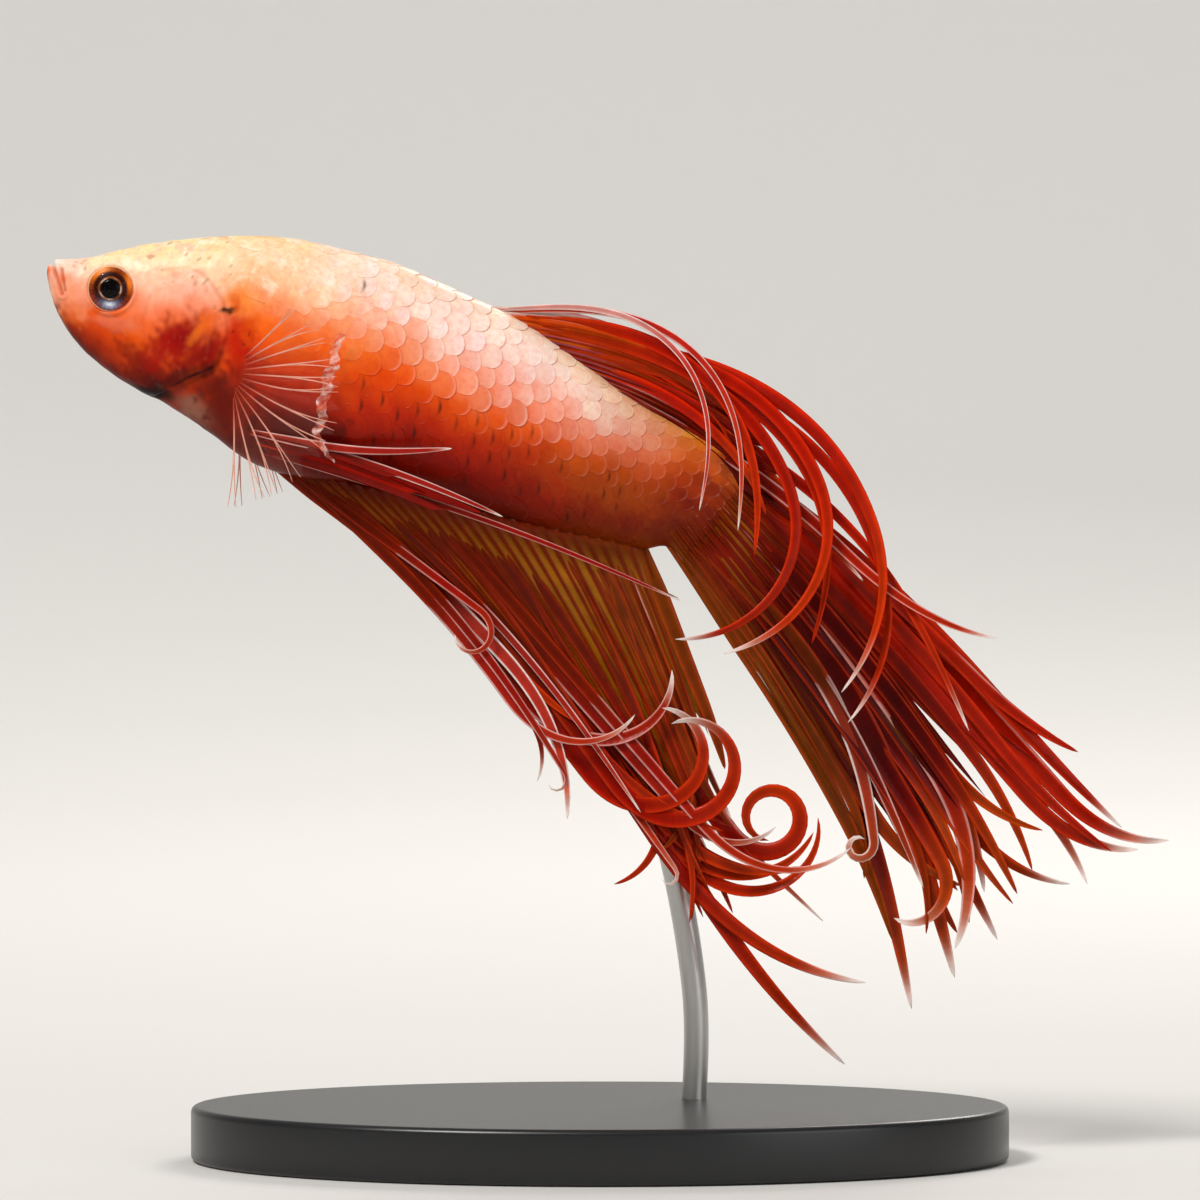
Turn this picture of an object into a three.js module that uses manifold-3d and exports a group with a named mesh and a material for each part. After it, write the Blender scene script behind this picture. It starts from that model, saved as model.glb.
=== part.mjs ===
// A crowntail betta (Siamese fighting fish), life size, swimming with its fins trailing,
// held by a plain stand. Millimetres, +Z up, head towards -X, the fish's left side towards -Y.
// The origin is the centre of the base's underside.
//
// The body is one loft parted by thin cuts. Each fin is a web with tapering rays that run on
// past it: a ray is a curve drawn by its heading, which bends evenly and may curl at its end.

import * as THREE from 'three';
import { mergeVertices } from 'three/addons/utils/BufferGeometryUtils.js';
import Module from 'manifold-3d';

const wasm = await Module();
wasm.setup();

// ---------------------------------------------------------------- driving dimensions

const GAP = 0.3; // between pieces that were cut apart
const FAR = 100; // longer than the whole model, for cutting blocks
const SLIVER = 0.02; // detail finer than this is cleared from joined and cut pieces
const WELD = 1e-4; // corners nearer than this are one corner

// Sections of the body from the lips to the root of the tail fin:
// back x, back z, belly x, belly z, half width.
const BODY_SECTIONS = [
  [-34.8, 57.0, -35.2, 56.5, 0.45],
  [-34.2, 57.35, -35.0, 55.3, 0.95],
  [-33.0, 57.4, -34.6, 54.0, 1.45],
  [-31.8, 57.6, -33.9, 52.7, 1.85],
  [-30.2, 58.0, -32.8, 51.3, 2.25],
  [-28.5, 58.35, -31.4, 50.1, 2.6],
  [-26.6, 58.6, -29.6, 48.9, 2.9],
  [-24.4, 58.8, -27.6, 47.9, 3.2],
  [-21.9, 58.85, -25.0, 46.2, 3.45],
  [-19.0, 58.6, -22.2, 44.2, 3.65],
  [-16.2, 57.9, -19.0, 43.2, 3.75],
  [-12.7, 56.9, -15.5, 42.7, 3.7],
  [-8.9, 55.2, -11.7, 42.0, 3.5],
  [-5.1, 53.4, -7.6, 41.0, 3.2],
  [-1.3, 50.8, -3.5, 39.9, 2.75],
  [2.2, 48.3, 0.0, 39.2, 2.2],
  [5.7, 46.5, 2.5, 38.7, 1.65],
  [9.2, 44.7, 4.1, 38.9, 1.15],
  [10.4, 43.6, 5.6, 38.0, 0.7],
];
const BODY_STEPS = 26; // along the body
const BODY_SIDES = 20; // round the body
const BACK_HEAVY = 0.12; // how much wider the section is above its middle than below

const GILL_CENTRE = new THREE.Vector3(-29.2, 0, 53.7); // of the gill cover's round rear edge
const GILL_RADIUS = 5.4;
const GILL_FRONT = -28.4; // x of the gill cover's front edge
const GILL_SEAT = 1.6; // distance from the middle plane at which the gill covers stand on the head
const GILL_SIDES = 28;
const NAPE = -24.9; // x where head and trunk part above the gill cover
const TAIL_ROOT = new THREE.Vector3(1.3, 0, 44.0); // where trunk and tail root part
const TAIL_ROOT_TILT = 15; // degrees the parting plane leans
const JAW_TOP = new THREE.Vector3(-34.75, 0, 57.6); // the mouth's upper end
const JAW_TILT = -12.5; // degrees the cleft of the mouth leans

const EYE_CENTRE = new THREE.Vector3(-30.9, 1.95, 55.3);
const EYE_RADIUS = 1.55;
const EYE_DEPTH = 0.95; // half of the eye's flattened thickness
const EYE_CLEARANCE = 0.15;
const EYE_SEGMENTS = 16;

const RAY_THICKNESS = 0.5;
const RAY_TIP_WIDTH = 0.45;
const RAY_STRAIGHT = 0.1; // share of a ray that stays straight before its even bend
const CURL_POWER = 1.3; // above 1, a curl tightens towards the tip
const DRIFT_POWER = 1.5; // above 1, a ray leans sideways mostly near its tip
const RAY_POINTS = 96; // fine points along a ray
const TURN_PER_RING = 36; // degrees that a ray may turn between two of its sections
const LENGTH_PER_RING = 9; // length of ray between two of its sections
const WEB_THICKNESS = 0.5;
const WEB_NOTCH = 0.12; // how much shorter every second column of a web is

// A ray: place along the fin's root (0 to 1), heading at the root in degrees above +X,
// length, bend over its length, curl at its end in degrees, where the curl begins (0 to 1),
// sideways drift of the tip, width at the root.
const DORSAL = {
  name: 'dorsal_fin',
  root: [[-7.0, 54.0], [0.8, 48.8]],
  web: { columns: 12, rows: 3, heading: (t) => -5 - 23 * t, bend: -22, lean: () => -0.5,
    length: (t) => 11 + 3.5 * Math.sin(Math.PI * t) - 2.5 * t },
  rays: [
    [0.00, 3, 23.2, -105, 0, 0.6, -3.2, 0.7],
    [0.10, -12, 36.4, -97, -72, 0.6, -4.0, 1.3],
    [0.22, -8, 36.8, -98, -60, 0.6, -3.6, 1.3],
    [0.32, -7, 37.8, -86, -36, 0.7, -3.0, 1.4],
    [0.48, -11, 37.4, -84, -36, 0.75, -2.4, 1.2],
    [0.70, -23, 35.2, -44, 0, 0.6, -2.4, 1.0],
    [0.82, -29, 30.8, -26, 46, 0.6, -2.9, 1.0],
    [1.00, -28, 20.0, -20, 0, 0.6, -1.4, 0.9],
  ],
};

const ANAL = {
  name: 'anal_fin',
  root: [[-21.4, 44.8], [2.4, 39.2]],
  web: { columns: 22, rows: 3, heading: (t) => -36 - 33 * t ** 0.8, bend: -3, lean: () => 0,
    length: (t) => 13.5 + 14 * Math.sin(Math.PI * t ** 0.9) },
  rays: [
    [0.03, -36.5, 21.5, 0, -235, 0.75, -1.6, 0.8],
    [0.05, -42, 30.5, -18, 116, 0.68, -1.5, 1.1],
    [0.07, -43.5, 26.6, -10, -60, 0.82, 0.9, 0.7],
    [0.10, -41.5, 29.2, -10, -42, 0.6, -0.9, 1.4],
    [0.12, -44, 27.6, -15, -190, 0.92, -1.8, 0.8],
    [0.15, -48, 32.4, 0, 143, 0.62, -0.7, 1.1],
    [0.20, -42, 29.0, -14, 0, 0.6, -1.2, 1.1],
    [0.28, -53, 37.4, 0, 228, 0.62, -1.0, 1.1],
    [0.30, -47, 35.0, -10, -10, 0.6, 0.8, 0.9],
    [0.33, -52, 32.5, -3, -200, 0.94, -0.6, 0.8],
    [0.35, -49, 34.6, 0, 95, 0.8, -0.9, 1.0],
    [0.38, -54.5, 39.0, 0, 258, 0.59, -1.6, 1.2],
    [0.40, -49.3, 38.8, 0, 92, 0.72, -1.4, 1.0],
    [0.45, -57, 43.0, 0, 50, 0.6, 0.4, 1.2],
    [0.55, -59.5, 43.4, 0, 18, 0.6, 0.9, 1.2],
    [0.58, -54, 40.6, 0, 316, 0.63, 1.5, 1.1],
    [0.60, -61, 37.8, 0, 161, 0.64, 0.6, 1.0],
    [0.70, -63, 32.5, 20, 0, 0.6, 1.2, 0.8],
    [0.80, -70, 22.0, 5, 0, 0.6, 0.6, 0.9],
    [0.90, -76, 20.0, 10, 0, 0.6, 0.2, 0.9],
    [1.00, -78, 19.0, 14, 0, 0.6, 0.4, 0.8],
    [1.00, -72, 8.0, 10, 0, 0.6, -0.4, 0.6],
  ],
};

const CAUDAL = {
  name: 'caudal_fin',
  root: [[8.8, 44.4], [4.4, 39.4]],
  web: { columns: 12, rows: 3, heading: (t) => -41 - 14 * t ** 0.6, bend: -6, lean: () => 0.3,
    length: (t) => 22.5 - 2.5 * t },
  rays: [
    [0.00, -40, 33.8, -12, 10, 0.6, 0.9, 1.0],
    [0.05, -43.6, 37.3, -5, 55, 0.78, 1.4, 1.1],
    [0.10, -46.3, 36.2, -5, 55, 0.76, 0.5, 1.1],
    [0.15, -45, 35.0, -5, -18, 0.8, 1.9, 0.9],
    [0.20, -53, 34.8, -5, -55, 0.62, -0.2, 1.2],
    [0.25, -53, 34.7, -5, 52, 0.72, 1.2, 1.0],
    [0.30, -48, 31.5, -10, -25, 0.6, 0.6, 0.9],
    [0.38, -53, 34.0, -10, 0, 0.6, 1.6, 0.9],
    [0.50, -51, 34.7, -25, 0, 0.6, 0.1, 1.1],
    [0.60, -52, 33.6, -10, -150, 0.8, -0.5, 1.1],
    [0.75, -54, 34.7, -25, 0, 0.6, 0.9, 1.0],
    [0.85, -42, 27.7, -45, -290, 0.86, 1.0, 0.8],
    [1.00, -54, 20.8, -5, 0, 0.6, 0.2, 0.9],
  ],
};

const PELVIC = {
  name: 'pelvic_fin',
  root: [[-22.2, 46.3], [-21.0, 44.8]],
  rootY: -1.7,
  drift: 0.4, // power that makes the blades clear the flank early
  web: { columns: 3, rows: 3, heading: (t) => -13 - 3 * t, bend: -8, lean: (t) => -1.9 + 0.4 * t,
    length: (t) => 10 + 4 * t },
  rays: [
    [0.0, -14, 17.0, -10, 0, 0.6, -2.0, 0.8],
    [0.9, -16, 27.8, -8, 0, 0.6, -1.5, 0.7],
    [0.0, -12, 13.0, 16, 0, 0.6, -2.2, 0.8],
  ],
};

const PECTORAL = {
  name: 'pectoral_fin',
  root: [[-22.5, 51.0], [-23.0, 48.0]],
  rootY: -3.1,
  drift: 0.8,
  web: { columns: 10, rows: 2, heading: (t) => 42 - 134 * t, bend: 0, lean: (t) => -2 + 1.3 * t,
    length: (t) => 3.0 + 1.2 * Math.sin(Math.PI * t) },
  rays: [
    [0.00, 42, 2.8, 0, 0, 0.6, -1.9, 0.5],
    [0.10, 34, 4.2, -4, 0, 0.6, -2.1, 0.5],
    [0.25, 22, 6.2, -2, 0, 0.6, -2.2, 0.5],
    [0.35, 8, 6.3, 8, 0, 0.6, -2.2, 0.5],
    [0.45, -8, 5.4, -3, 0, 0.6, -2.0, 0.5],
    [0.55, -24, 5.4, 0, 0, 0.6, -1.8, 0.5],
    [0.70, -38, 8.0, -8, 0, 0.6, -1.7, 0.5],
    [0.80, -50, 5.8, -4, 0, 0.6, -1.3, 0.5],
    [0.85, -62, 5.8, -4, 0, 0.6, -1.1, 0.5],
    [0.92, -76, 5.2, -4, 0, 0.6, -0.9, 0.5],
    [1.00, -92, 4.4, 2, 0, 0.6, -0.7, 0.5],
  ],
};

const ROD_RADIUS = 0.8;
const ROD_SIDES = 5;
const ROD_STEPS = 16;
// The rod climbs behind the anal fin and ends in a blind socket in the trunk's right side.
const ROD_PATH = [
  [6.0, 4.5, 1.2],
  [6.0, 4.5, 11.0],
  [3.5, 4.8, 23.0],
  [-1.5, 4.8, 34.0],
  [-4.8, 4.1, 41.3],
  [-5.9, 1.6, 44.6],
];
const BASE_HALF_LENGTH = 26;
const BASE_HALF_WIDTH = 17;
const BASE_HEIGHT = 3.5;
const BASE_CHAMFER = 0.4;
const BASE_SIDES = 40;

// ---------------------------------------------------------------- materials

const matt = (color, roughness) => new THREE.MeshStandardMaterial({ color, roughness, metalness: 0 });
const HEAD_SKIN = matt(0xe88a55, 0.45);
const TRUNK_SKIN = matt(0xe8763f, 0.4);
const GILL_SKIN = matt(0xc8502a, 0.45);
const FIN_RED = matt(0xa8180a, 0.4);
const FIN_CLEAR = matt(0xf0b090, 0.4);
const EYE_BLACK = matt(0x1a0d08, 0.1);
const STAND_GREY = matt(0x2b2b2d, 0.5);

// ---------------------------------------------------------------- solids

// A closed solid through rings of equal size, with a flat end on the first and last ring.
function loftGeometry(rings) {
  const sides = rings[0].length;
  const points = rings.flat();
  const first = points.length;
  points.push(ringMiddle(rings[0]), ringMiddle(rings[rings.length - 1]));
  const faces = [];
  for (let r = 0; r < rings.length - 1; r += 1) {
    for (let i = 0; i < sides; i += 1) {
      const a = r * sides + i;
      const b = r * sides + ((i + 1) % sides);
      faces.push(a, b, b + sides, a, b + sides, a + sides);
    }
  }
  const last = (rings.length - 1) * sides;
  for (let i = 0; i < sides; i += 1) {
    const next = (i + 1) % sides;
    faces.push(first, next, i, first + 1, last + i, last + next);
  }
  return indexedGeometry(points, faces);
}

function ringMiddle(ring) {
  const middle = new THREE.Vector3();
  ring.forEach((p) => middle.add(p));
  return middle.divideScalar(ring.length);
}

function indexedGeometry(points, faces) {
  const geometry = new THREE.BufferGeometry();
  const flat = points.flatMap((p) => [p.x, p.y, p.z]);
  geometry.setAttribute('position', new THREE.Float32BufferAttribute(flat, 3));
  geometry.setIndex(faces);
  return geometry;
}

// A manifold solid from a closed geometry, turned outward if its faces point in.
function solid(geometry) {
  const bare = geometry.clone();
  bare.deleteAttribute('normal');
  bare.deleteAttribute('uv');
  const merged = mergeVertices(bare, WELD);
  const mesh = new wasm.Mesh({
    numProp: 3,
    vertProperties: new Float32Array(merged.attributes.position.array),
    triVerts: new Uint32Array(merged.index.array),
  });
  const made = new wasm.Manifold(mesh);
  if (made.volume() > 0) return made;
  mesh.triVerts = mesh.triVerts.reverse();
  return new wasm.Manifold(mesh);
}

// The largest of the pieces that a cut leaves.
function largest(made) {
  const pieces = made.decompose();
  return pieces.reduce((best, piece) => (piece.volume() > best.volume() ? piece : best));
}

// A named mesh of a joined solid, without the slivers that joins and cuts leave.
function meshOf(name, made, material) {
  const { vertProperties, triVerts } = made.simplify(SLIVER).getMesh();
  const geometry = new THREE.BufferGeometry();
  geometry.setAttribute('position', new THREE.BufferAttribute(vertProperties, 3));
  geometry.setIndex(new THREE.BufferAttribute(triVerts, 1));
  const mesh = new THREE.Mesh(geometry, material);
  mesh.name = name;
  return mesh;
}

// A block that fills everything on the +X side of a plane through a point, leaned about Y.
function blockBeyond(point, tiltDegrees, offset) {
  const block = new THREE.BoxGeometry(FAR, FAR, FAR);
  block.translate(FAR / 2 + offset, 0, 0);
  block.rotateY(THREE.MathUtils.degToRad(tiltDegrees));
  block.translate(point.x, point.y, point.z);
  return solid(block);
}

function mirrored(made) {
  return made.mirror([0, 1, 0]);
}

// ---------------------------------------------------------------- body

const backLine = new THREE.CatmullRomCurve3(
  BODY_SECTIONS.map(([x, z, , , halfWidth]) => new THREE.Vector3(x, halfWidth, z)),
  false, 'catmullrom', 0.5);
const bellyLine = new THREE.CatmullRomCurve3(
  BODY_SECTIONS.map(([, , x, z]) => new THREE.Vector3(x, 0, z)),
  false, 'catmullrom', 0.5);

// One section of the body at u (0 at the lips, 1 at the tail fin), grown all round.
function bodyRing(u, grow) {
  const back = backLine.getPoint(u);
  const halfWidth = back.y + grow;
  back.y = 0;
  const belly = bellyLine.getPoint(u);
  const middle = back.clone().add(belly).divideScalar(2);
  const rise = back.clone().sub(middle);
  rise.setLength(rise.length() + grow);
  const ring = [];
  for (let i = 0; i < BODY_SIDES; i += 1) {
    const angle = (i / BODY_SIDES) * 2 * Math.PI;
    const up = Math.cos(angle);
    const out = Math.sin(angle) * (1 + BACK_HEAVY * up);
    const p = middle.clone().addScaledVector(rise, up);
    p.y = halfWidth * out;
    ring.push(p);
  }
  return ring;
}

function bodySolid(grow) {
  const rings = [];
  for (let k = 0; k <= BODY_STEPS; k += 1) rings.push(bodyRing(k / BODY_STEPS, grow));
  return solid(loftGeometry(rings));
}

// The head's reach: all before the gill centre, the nape above it and the gill's round edge.
function headReach(grow) {
  const round = new THREE.CylinderGeometry(GILL_RADIUS + grow, GILL_RADIUS + grow, FAR, GILL_SIDES);
  round.translate(GILL_CENTRE.x, 0, GILL_CENTRE.z);
  const front = new THREE.BoxGeometry(FAR, FAR, FAR);
  front.translate(GILL_CENTRE.x - FAR / 2, 0, GILL_CENTRE.z);
  const nape = new THREE.BoxGeometry(FAR, FAR, FAR);
  nape.translate(NAPE + grow - FAR / 2, 0, GILL_CENTRE.z + FAR / 2);
  return solid(round).add(solid(front)).add(solid(nape));
}

// The left gill cover: a cheek-side slice with the round rear edge.
function gillCover(body, grow) {
  const reach = new THREE.CylinderGeometry(GILL_RADIUS + grow, GILL_RADIUS + grow, FAR, GILL_SIDES);
  reach.translate(GILL_CENTRE.x, 0, GILL_CENTRE.z);
  const side = new THREE.BoxGeometry(FAR, FAR, FAR);
  side.translate(GILL_FRONT - grow + FAR / 2, grow - GILL_SEAT - FAR / 2, GILL_CENTRE.z);
  return body.intersect(solid(reach)).intersect(solid(side));
}

function eyeSolid(grow) {
  const eye = new THREE.SphereGeometry(1, EYE_SEGMENTS, EYE_SEGMENTS / 2);
  eye.scale(EYE_RADIUS + grow, EYE_DEPTH + grow, EYE_RADIUS + grow);
  eye.translate(EYE_CENTRE.x, -EYE_CENTRE.y, EYE_CENTRE.z);
  return solid(eye);
}

// ---------------------------------------------------------------- fins

const smooth = (x) => {
  const t = THREE.MathUtils.clamp(x, 0, 1);
  return t * t * (3 - 2 * t);
};

// Heading in degrees at s (0 at the root, 1 at the tip).
function headingAt({ heading, bend, curl, curlFrom }, s) {
  const late = THREE.MathUtils.clamp((s - curlFrom) / (1 - curlFrom), 0, 1);
  return heading + bend * smooth((s - RAY_STRAIGHT) / (1 - RAY_STRAIGHT)) + curl * late ** CURL_POWER;
}

// Fine points of a ray's curve, by adding up short steps along its heading.
function trace(fin, ray) {
  const [[x0, z0], [x1, z1]] = fin.root;
  const at = [];
  let x = x0 + (x1 - x0) * ray.place;
  let z = z0 + (z1 - z0) * ray.place;
  const step = ray.length / RAY_POINTS;
  for (let k = 0; k <= RAY_POINTS; k += 1) {
    const s = k / RAY_POINTS;
    const angle = THREE.MathUtils.degToRad(headingAt(ray, s));
    const y = (fin.rootY ?? 0) + ray.lean * s ** (fin.drift ?? DRIFT_POWER);
    at.push({ s, angle, point: new THREE.Vector3(x, y, z) });
    const middle = THREE.MathUtils.degToRad(headingAt(ray, s + 0.5 / RAY_POINTS));
    x += step * Math.cos(middle);
    z += step * Math.sin(middle);
  }
  return at;
}

// Where along a ray its rings stand: closer together where it turns.
function ringStops(ray, at) {
  const effort = [0];
  for (let k = 1; k < at.length; k += 1) {
    const turn = Math.abs(at[k].angle - at[k - 1].angle);
    const share = THREE.MathUtils.radToDeg(turn) / TURN_PER_RING;
    effort.push(effort[k - 1] + share + ray.length / RAY_POINTS / LENGTH_PER_RING);
  }
  const total = effort[effort.length - 1];
  const count = Math.max(3, Math.round(total));
  const stops = [];
  for (let r = 0; r <= count; r += 1) {
    const goal = (total * r) / count;
    stops.push(at[Math.min(RAY_POINTS, effort.findIndex((e) => e >= goal - 1e-9))]);
  }
  return stops;
}

// One ray as a flat tapering blade, its width in the fin's plane.
function raySolid(fin, row) {
  const [place, heading, length, bend, curl, curlFrom, lean, width] = row;
  const ray = { place, heading, length, bend, curl, curlFrom, lean };
  const rings = ringStops(ray, trace(fin, ray)).map(({ s, angle, point }) => {
    const half = THREE.MathUtils.lerp(width, RAY_TIP_WIDTH, s * s) / 2;
    const across = new THREE.Vector3(-Math.sin(angle), 0, Math.cos(angle)).multiplyScalar(half);
    const thick = new THREE.Vector3(0, RAY_THICKNESS / 2, 0);
    return [
      point.clone().add(across).add(thick),
      point.clone().add(across).sub(thick),
      point.clone().sub(across).sub(thick),
      point.clone().sub(across).add(thick),
    ];
  });
  return solid(loftGeometry(rings));
}

// The web between the rays, with a notch in its edge between each two columns.
function webSolid(fin) {
  const { columns, rows, heading, length, bend, lean } = fin.web;
  const rings = [];
  for (let i = 0; i <= columns; i += 1) {
    const place = i / columns;
    const reach = length(place) * (i % 2 ? 1 - WEB_NOTCH : 1);
    const straight = { bend, curl: 0, curlFrom: 0.6, lean: lean(place) };
    const at = trace(fin, { place, heading: heading(place), length: reach, ...straight });
    const near = [];
    const far = [];
    for (let j = 0; j <= rows; j += 1) {
      const { point } = at[Math.round((RAY_POINTS * j) / rows)];
      near.push(point.clone().setY(point.y - WEB_THICKNESS / 2));
      far.unshift(point.clone().setY(point.y + WEB_THICKNESS / 2));
    }
    rings.push([...near, ...far]);
  }
  return solid(stripGeometry(rings, rows));
}

// A thin slab through rings that run out along one face and back along the other.
function stripGeometry(rings, rows) {
  const around = rings[0].length;
  const points = rings.flat();
  const faces = [];
  for (let r = 0; r < rings.length - 1; r += 1) {
    for (let i = 0; i < around; i += 1) {
      const a = r * around + i;
      const b = r * around + ((i + 1) % around);
      faces.push(a, b, b + around, a, b + around, a + around);
    }
  }
  const last = (rings.length - 1) * around;
  for (let j = 0; j < rows; j += 1) {
    const back = around - 1 - j;
    faces.push(j + 1, j, back, j + 1, back, back - 1);
    faces.push(last + j, last + j + 1, last + back, last + j + 1, last + back - 1, last + back);
  }
  return indexedGeometry(points, faces);
}

function finSolid(fin, keepClear) {
  const rays = fin.rays.map((row) => raySolid(fin, row));
  const joined = rays.reduce((all, ray) => all.add(ray), webSolid(fin));
  return largest(joined.subtract(keepClear));
}

// ---------------------------------------------------------------- stand

// The rod, or with grow above 0 the room it needs, thicker and longer at both ends.
function rodSolid(grow) {
  const points = ROD_PATH.map((p) => new THREE.Vector3(...p));
  const [low, afterLow] = points;
  const [beforeHigh, high] = points.slice(-2);
  low.add(low.clone().sub(afterLow).setLength(grow));
  high.add(high.clone().sub(beforeHigh).setLength(grow));
  const path = new THREE.CatmullRomCurve3(points);
  const section = new THREE.Shape();
  section.absarc(0, 0, ROD_RADIUS + grow, 0, 2 * Math.PI);
  const rod = new THREE.ExtrudeGeometry(section, {
    steps: ROD_STEPS,
    curveSegments: ROD_SIDES,
    bevelEnabled: false,
    extrudePath: path,
  });
  return solid(rod);
}

function baseSolid() {
  const profile = [
    [0, 0],
    [1 - BASE_CHAMFER / BASE_HALF_LENGTH, 0],
    [1, BASE_CHAMFER],
    [1, BASE_HEIGHT - BASE_CHAMFER],
    [1 - BASE_CHAMFER / BASE_HALF_LENGTH, BASE_HEIGHT],
    [0, BASE_HEIGHT],
  ];
  const plate = new THREE.LatheGeometry(profile.map(([r, h]) => new THREE.Vector2(r, h)), BASE_SIDES);
  plate.rotateX(Math.PI / 2);
  plate.scale(BASE_HALF_LENGTH, BASE_HALF_WIDTH, 1);
  return solid(plate);
}

// ---------------------------------------------------------------- assembly

const fish = new THREE.Group();
const body = bodySolid(0);
const clearOfBody = bodySolid(GAP);

const jawBlock = blockBeyond(JAW_TOP, JAW_TILT, 0);
const tailBlock = blockBeyond(TAIL_ROOT, TAIL_ROOT_TILT, 0);
const covers = gillCover(body, 0);
const coverRoom = gillCover(clearOfBody, GAP);
const eyeRoom = eyeSolid(EYE_CLEARANCE);

const headWhole = body.intersect(headReach(0));
const head = headWhole
  .intersect(blockBeyond(JAW_TOP, JAW_TILT, GAP))
  .subtract(coverRoom)
  .subtract(mirrored(coverRoom))
  .subtract(eyeRoom)
  .subtract(mirrored(eyeRoom));
fish.add(meshOf('head', largest(head), HEAD_SKIN));
fish.add(meshOf('lower_jaw', largest(headWhole.subtract(jawBlock)), HEAD_SKIN));
fish.add(meshOf('gill_cover_left', covers, GILL_SKIN));
fish.add(meshOf('gill_cover_right', mirrored(covers), GILL_SKIN));
fish.add(meshOf('eye_left', eyeSolid(0), EYE_BLACK));
fish.add(meshOf('eye_right', mirrored(eyeSolid(0)), EYE_BLACK));

const rodRoom = rodSolid(GAP);
const trunk = body.subtract(headReach(GAP)).subtract(tailBlock).subtract(rodRoom);
fish.add(meshOf('trunk', largest(trunk), TRUNK_SKIN));
fish.add(meshOf('tail_root', body.intersect(blockBeyond(TAIL_ROOT, TAIL_ROOT_TILT, GAP)), TRUNK_SKIN));

for (const fin of [DORSAL, ANAL, CAUDAL]) {
  fish.add(meshOf(fin.name, finSolid(fin, clearOfBody), FIN_RED));
}
for (const [fin, material] of [[PELVIC, FIN_RED], [PECTORAL, FIN_CLEAR]]) {
  const left = finSolid(fin, clearOfBody);
  fish.add(meshOf(`${fin.name}_left`, left, material));
  fish.add(meshOf(`${fin.name}_right`, mirrored(left), material));
}

fish.add(meshOf('stand_rod', rodSolid(0), STAND_GREY));
fish.add(meshOf('stand_base', baseSolid().subtract(rodRoom), STAND_GREY));

export default fish;
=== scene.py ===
import bpy
import mathutils
import numpy as np
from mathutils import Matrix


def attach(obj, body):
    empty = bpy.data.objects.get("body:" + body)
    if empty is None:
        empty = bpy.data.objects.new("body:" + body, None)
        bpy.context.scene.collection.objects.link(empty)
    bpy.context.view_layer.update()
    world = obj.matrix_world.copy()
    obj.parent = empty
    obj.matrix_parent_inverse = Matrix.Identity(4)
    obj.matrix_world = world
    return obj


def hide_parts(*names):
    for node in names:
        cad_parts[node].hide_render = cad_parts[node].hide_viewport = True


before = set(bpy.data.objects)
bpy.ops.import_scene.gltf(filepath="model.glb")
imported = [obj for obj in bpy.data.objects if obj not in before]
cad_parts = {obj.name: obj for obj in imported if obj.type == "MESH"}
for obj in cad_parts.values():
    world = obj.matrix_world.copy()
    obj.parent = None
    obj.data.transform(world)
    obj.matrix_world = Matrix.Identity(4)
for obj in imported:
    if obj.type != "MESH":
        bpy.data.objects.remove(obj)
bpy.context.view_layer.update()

# ---------- skin
# A betta's skin is soft, a little slimy and bare on the face: cream on top, salmon on the cheek,
# orange to dark red below, its paler top and darker belly partly painted light and painted shade.
# One skin runs from the lips to the tail fin, with the lips, nostrils, eye sockets and gill covers
# as folds in it. The scales lie over it behind the head.

MM = 0.001  # metres

# Sections from the lips to the tail fin, mm: back x, back z, belly x, belly z, half width.
SECTIONS = np.array([
    [-34.8, 57.0, -35.2, 56.5, 0.45],
    [-34.2, 57.35, -35.0, 55.3, 0.95],
    [-33.0, 57.4, -34.6, 54.0, 1.45],
    [-31.8, 57.6, -33.9, 52.7, 1.85],
    [-30.2, 58.0, -32.8, 51.3, 2.25],
    [-28.5, 58.35, -31.4, 50.1, 2.6],
    [-26.6, 58.6, -29.6, 48.9, 2.9],
    [-24.4, 58.8, -27.6, 47.9, 3.2],
    [-21.9, 58.85, -25.0, 46.2, 3.45],
    [-19.0, 58.6, -22.2, 44.2, 3.65],
    [-16.2, 57.9, -19.0, 43.2, 3.75],
    [-12.7, 56.9, -15.5, 42.7, 3.7],
    [-8.9, 55.2, -11.7, 42.0, 3.5],
    [-5.1, 53.4, -7.6, 41.0, 3.2],
    [-1.3, 50.8, -3.5, 39.9, 2.75],
    [2.2, 48.3, 0.0, 39.2, 2.2],
    [5.7, 46.5, 2.5, 38.7, 1.65],
    [9.2, 44.7, 4.1, 38.9, 0.95],
    [10.4, 43.6, 5.6, 38.0, 0.35],
])
BACK_HEAVY = 0.12  # a section is this much wider above its middle than below
SKIN_DEPTH = 0.16  # mm that the skin lies under the scales' faces
NOSE_ROUND = 0.014  # share of the length over which the lips round off
TAIL_ROUND = 0.02
HEAD_END = 0.5  # share of the length that gets the fine rings
HEAD_RINGS = 230
TRUNK_RINGS = 110
SKIN_SIDES = 256

EYE = np.array([-30.9, 55.3])  # x, z of the eye's centre
EYE_RADIUS = 1.46
SOCKET_DEPTH = 0.9
NOSTRILS = np.array([[-33.25, 56.75], [-32.75, 56.95]])
MOUTH = np.array([[-34.75, 57.2], [-34.5, 56.3], [-34.2, 55.5], [-34.05, 55.0]])
LIP_FOLD = np.array([[-34.05, 56.6], [-33.95, 56.0], [-33.8, 55.2]])
JAW_FOLD = np.array([[-33.6, 56.2], [-33.45, 55.5], [-33.35, 54.8]])
GILL_EDGE = np.array([
    [-27.6, 56.5], [-26.4, 56.65], [-25.5, 56.45], [-24.83, 56.0], [-23.94, 54.8], [-23.65, 54.1],
    [-23.5, 52.6], [-23.9, 51.35], [-24.4, 50.4], [-25.2, 50.0], [-26.1, 49.65], [-27.0, 49.15],
    [-28.2, 48.6], [-29.4, 48.4], [-30.6, 48.6],
])
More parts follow.
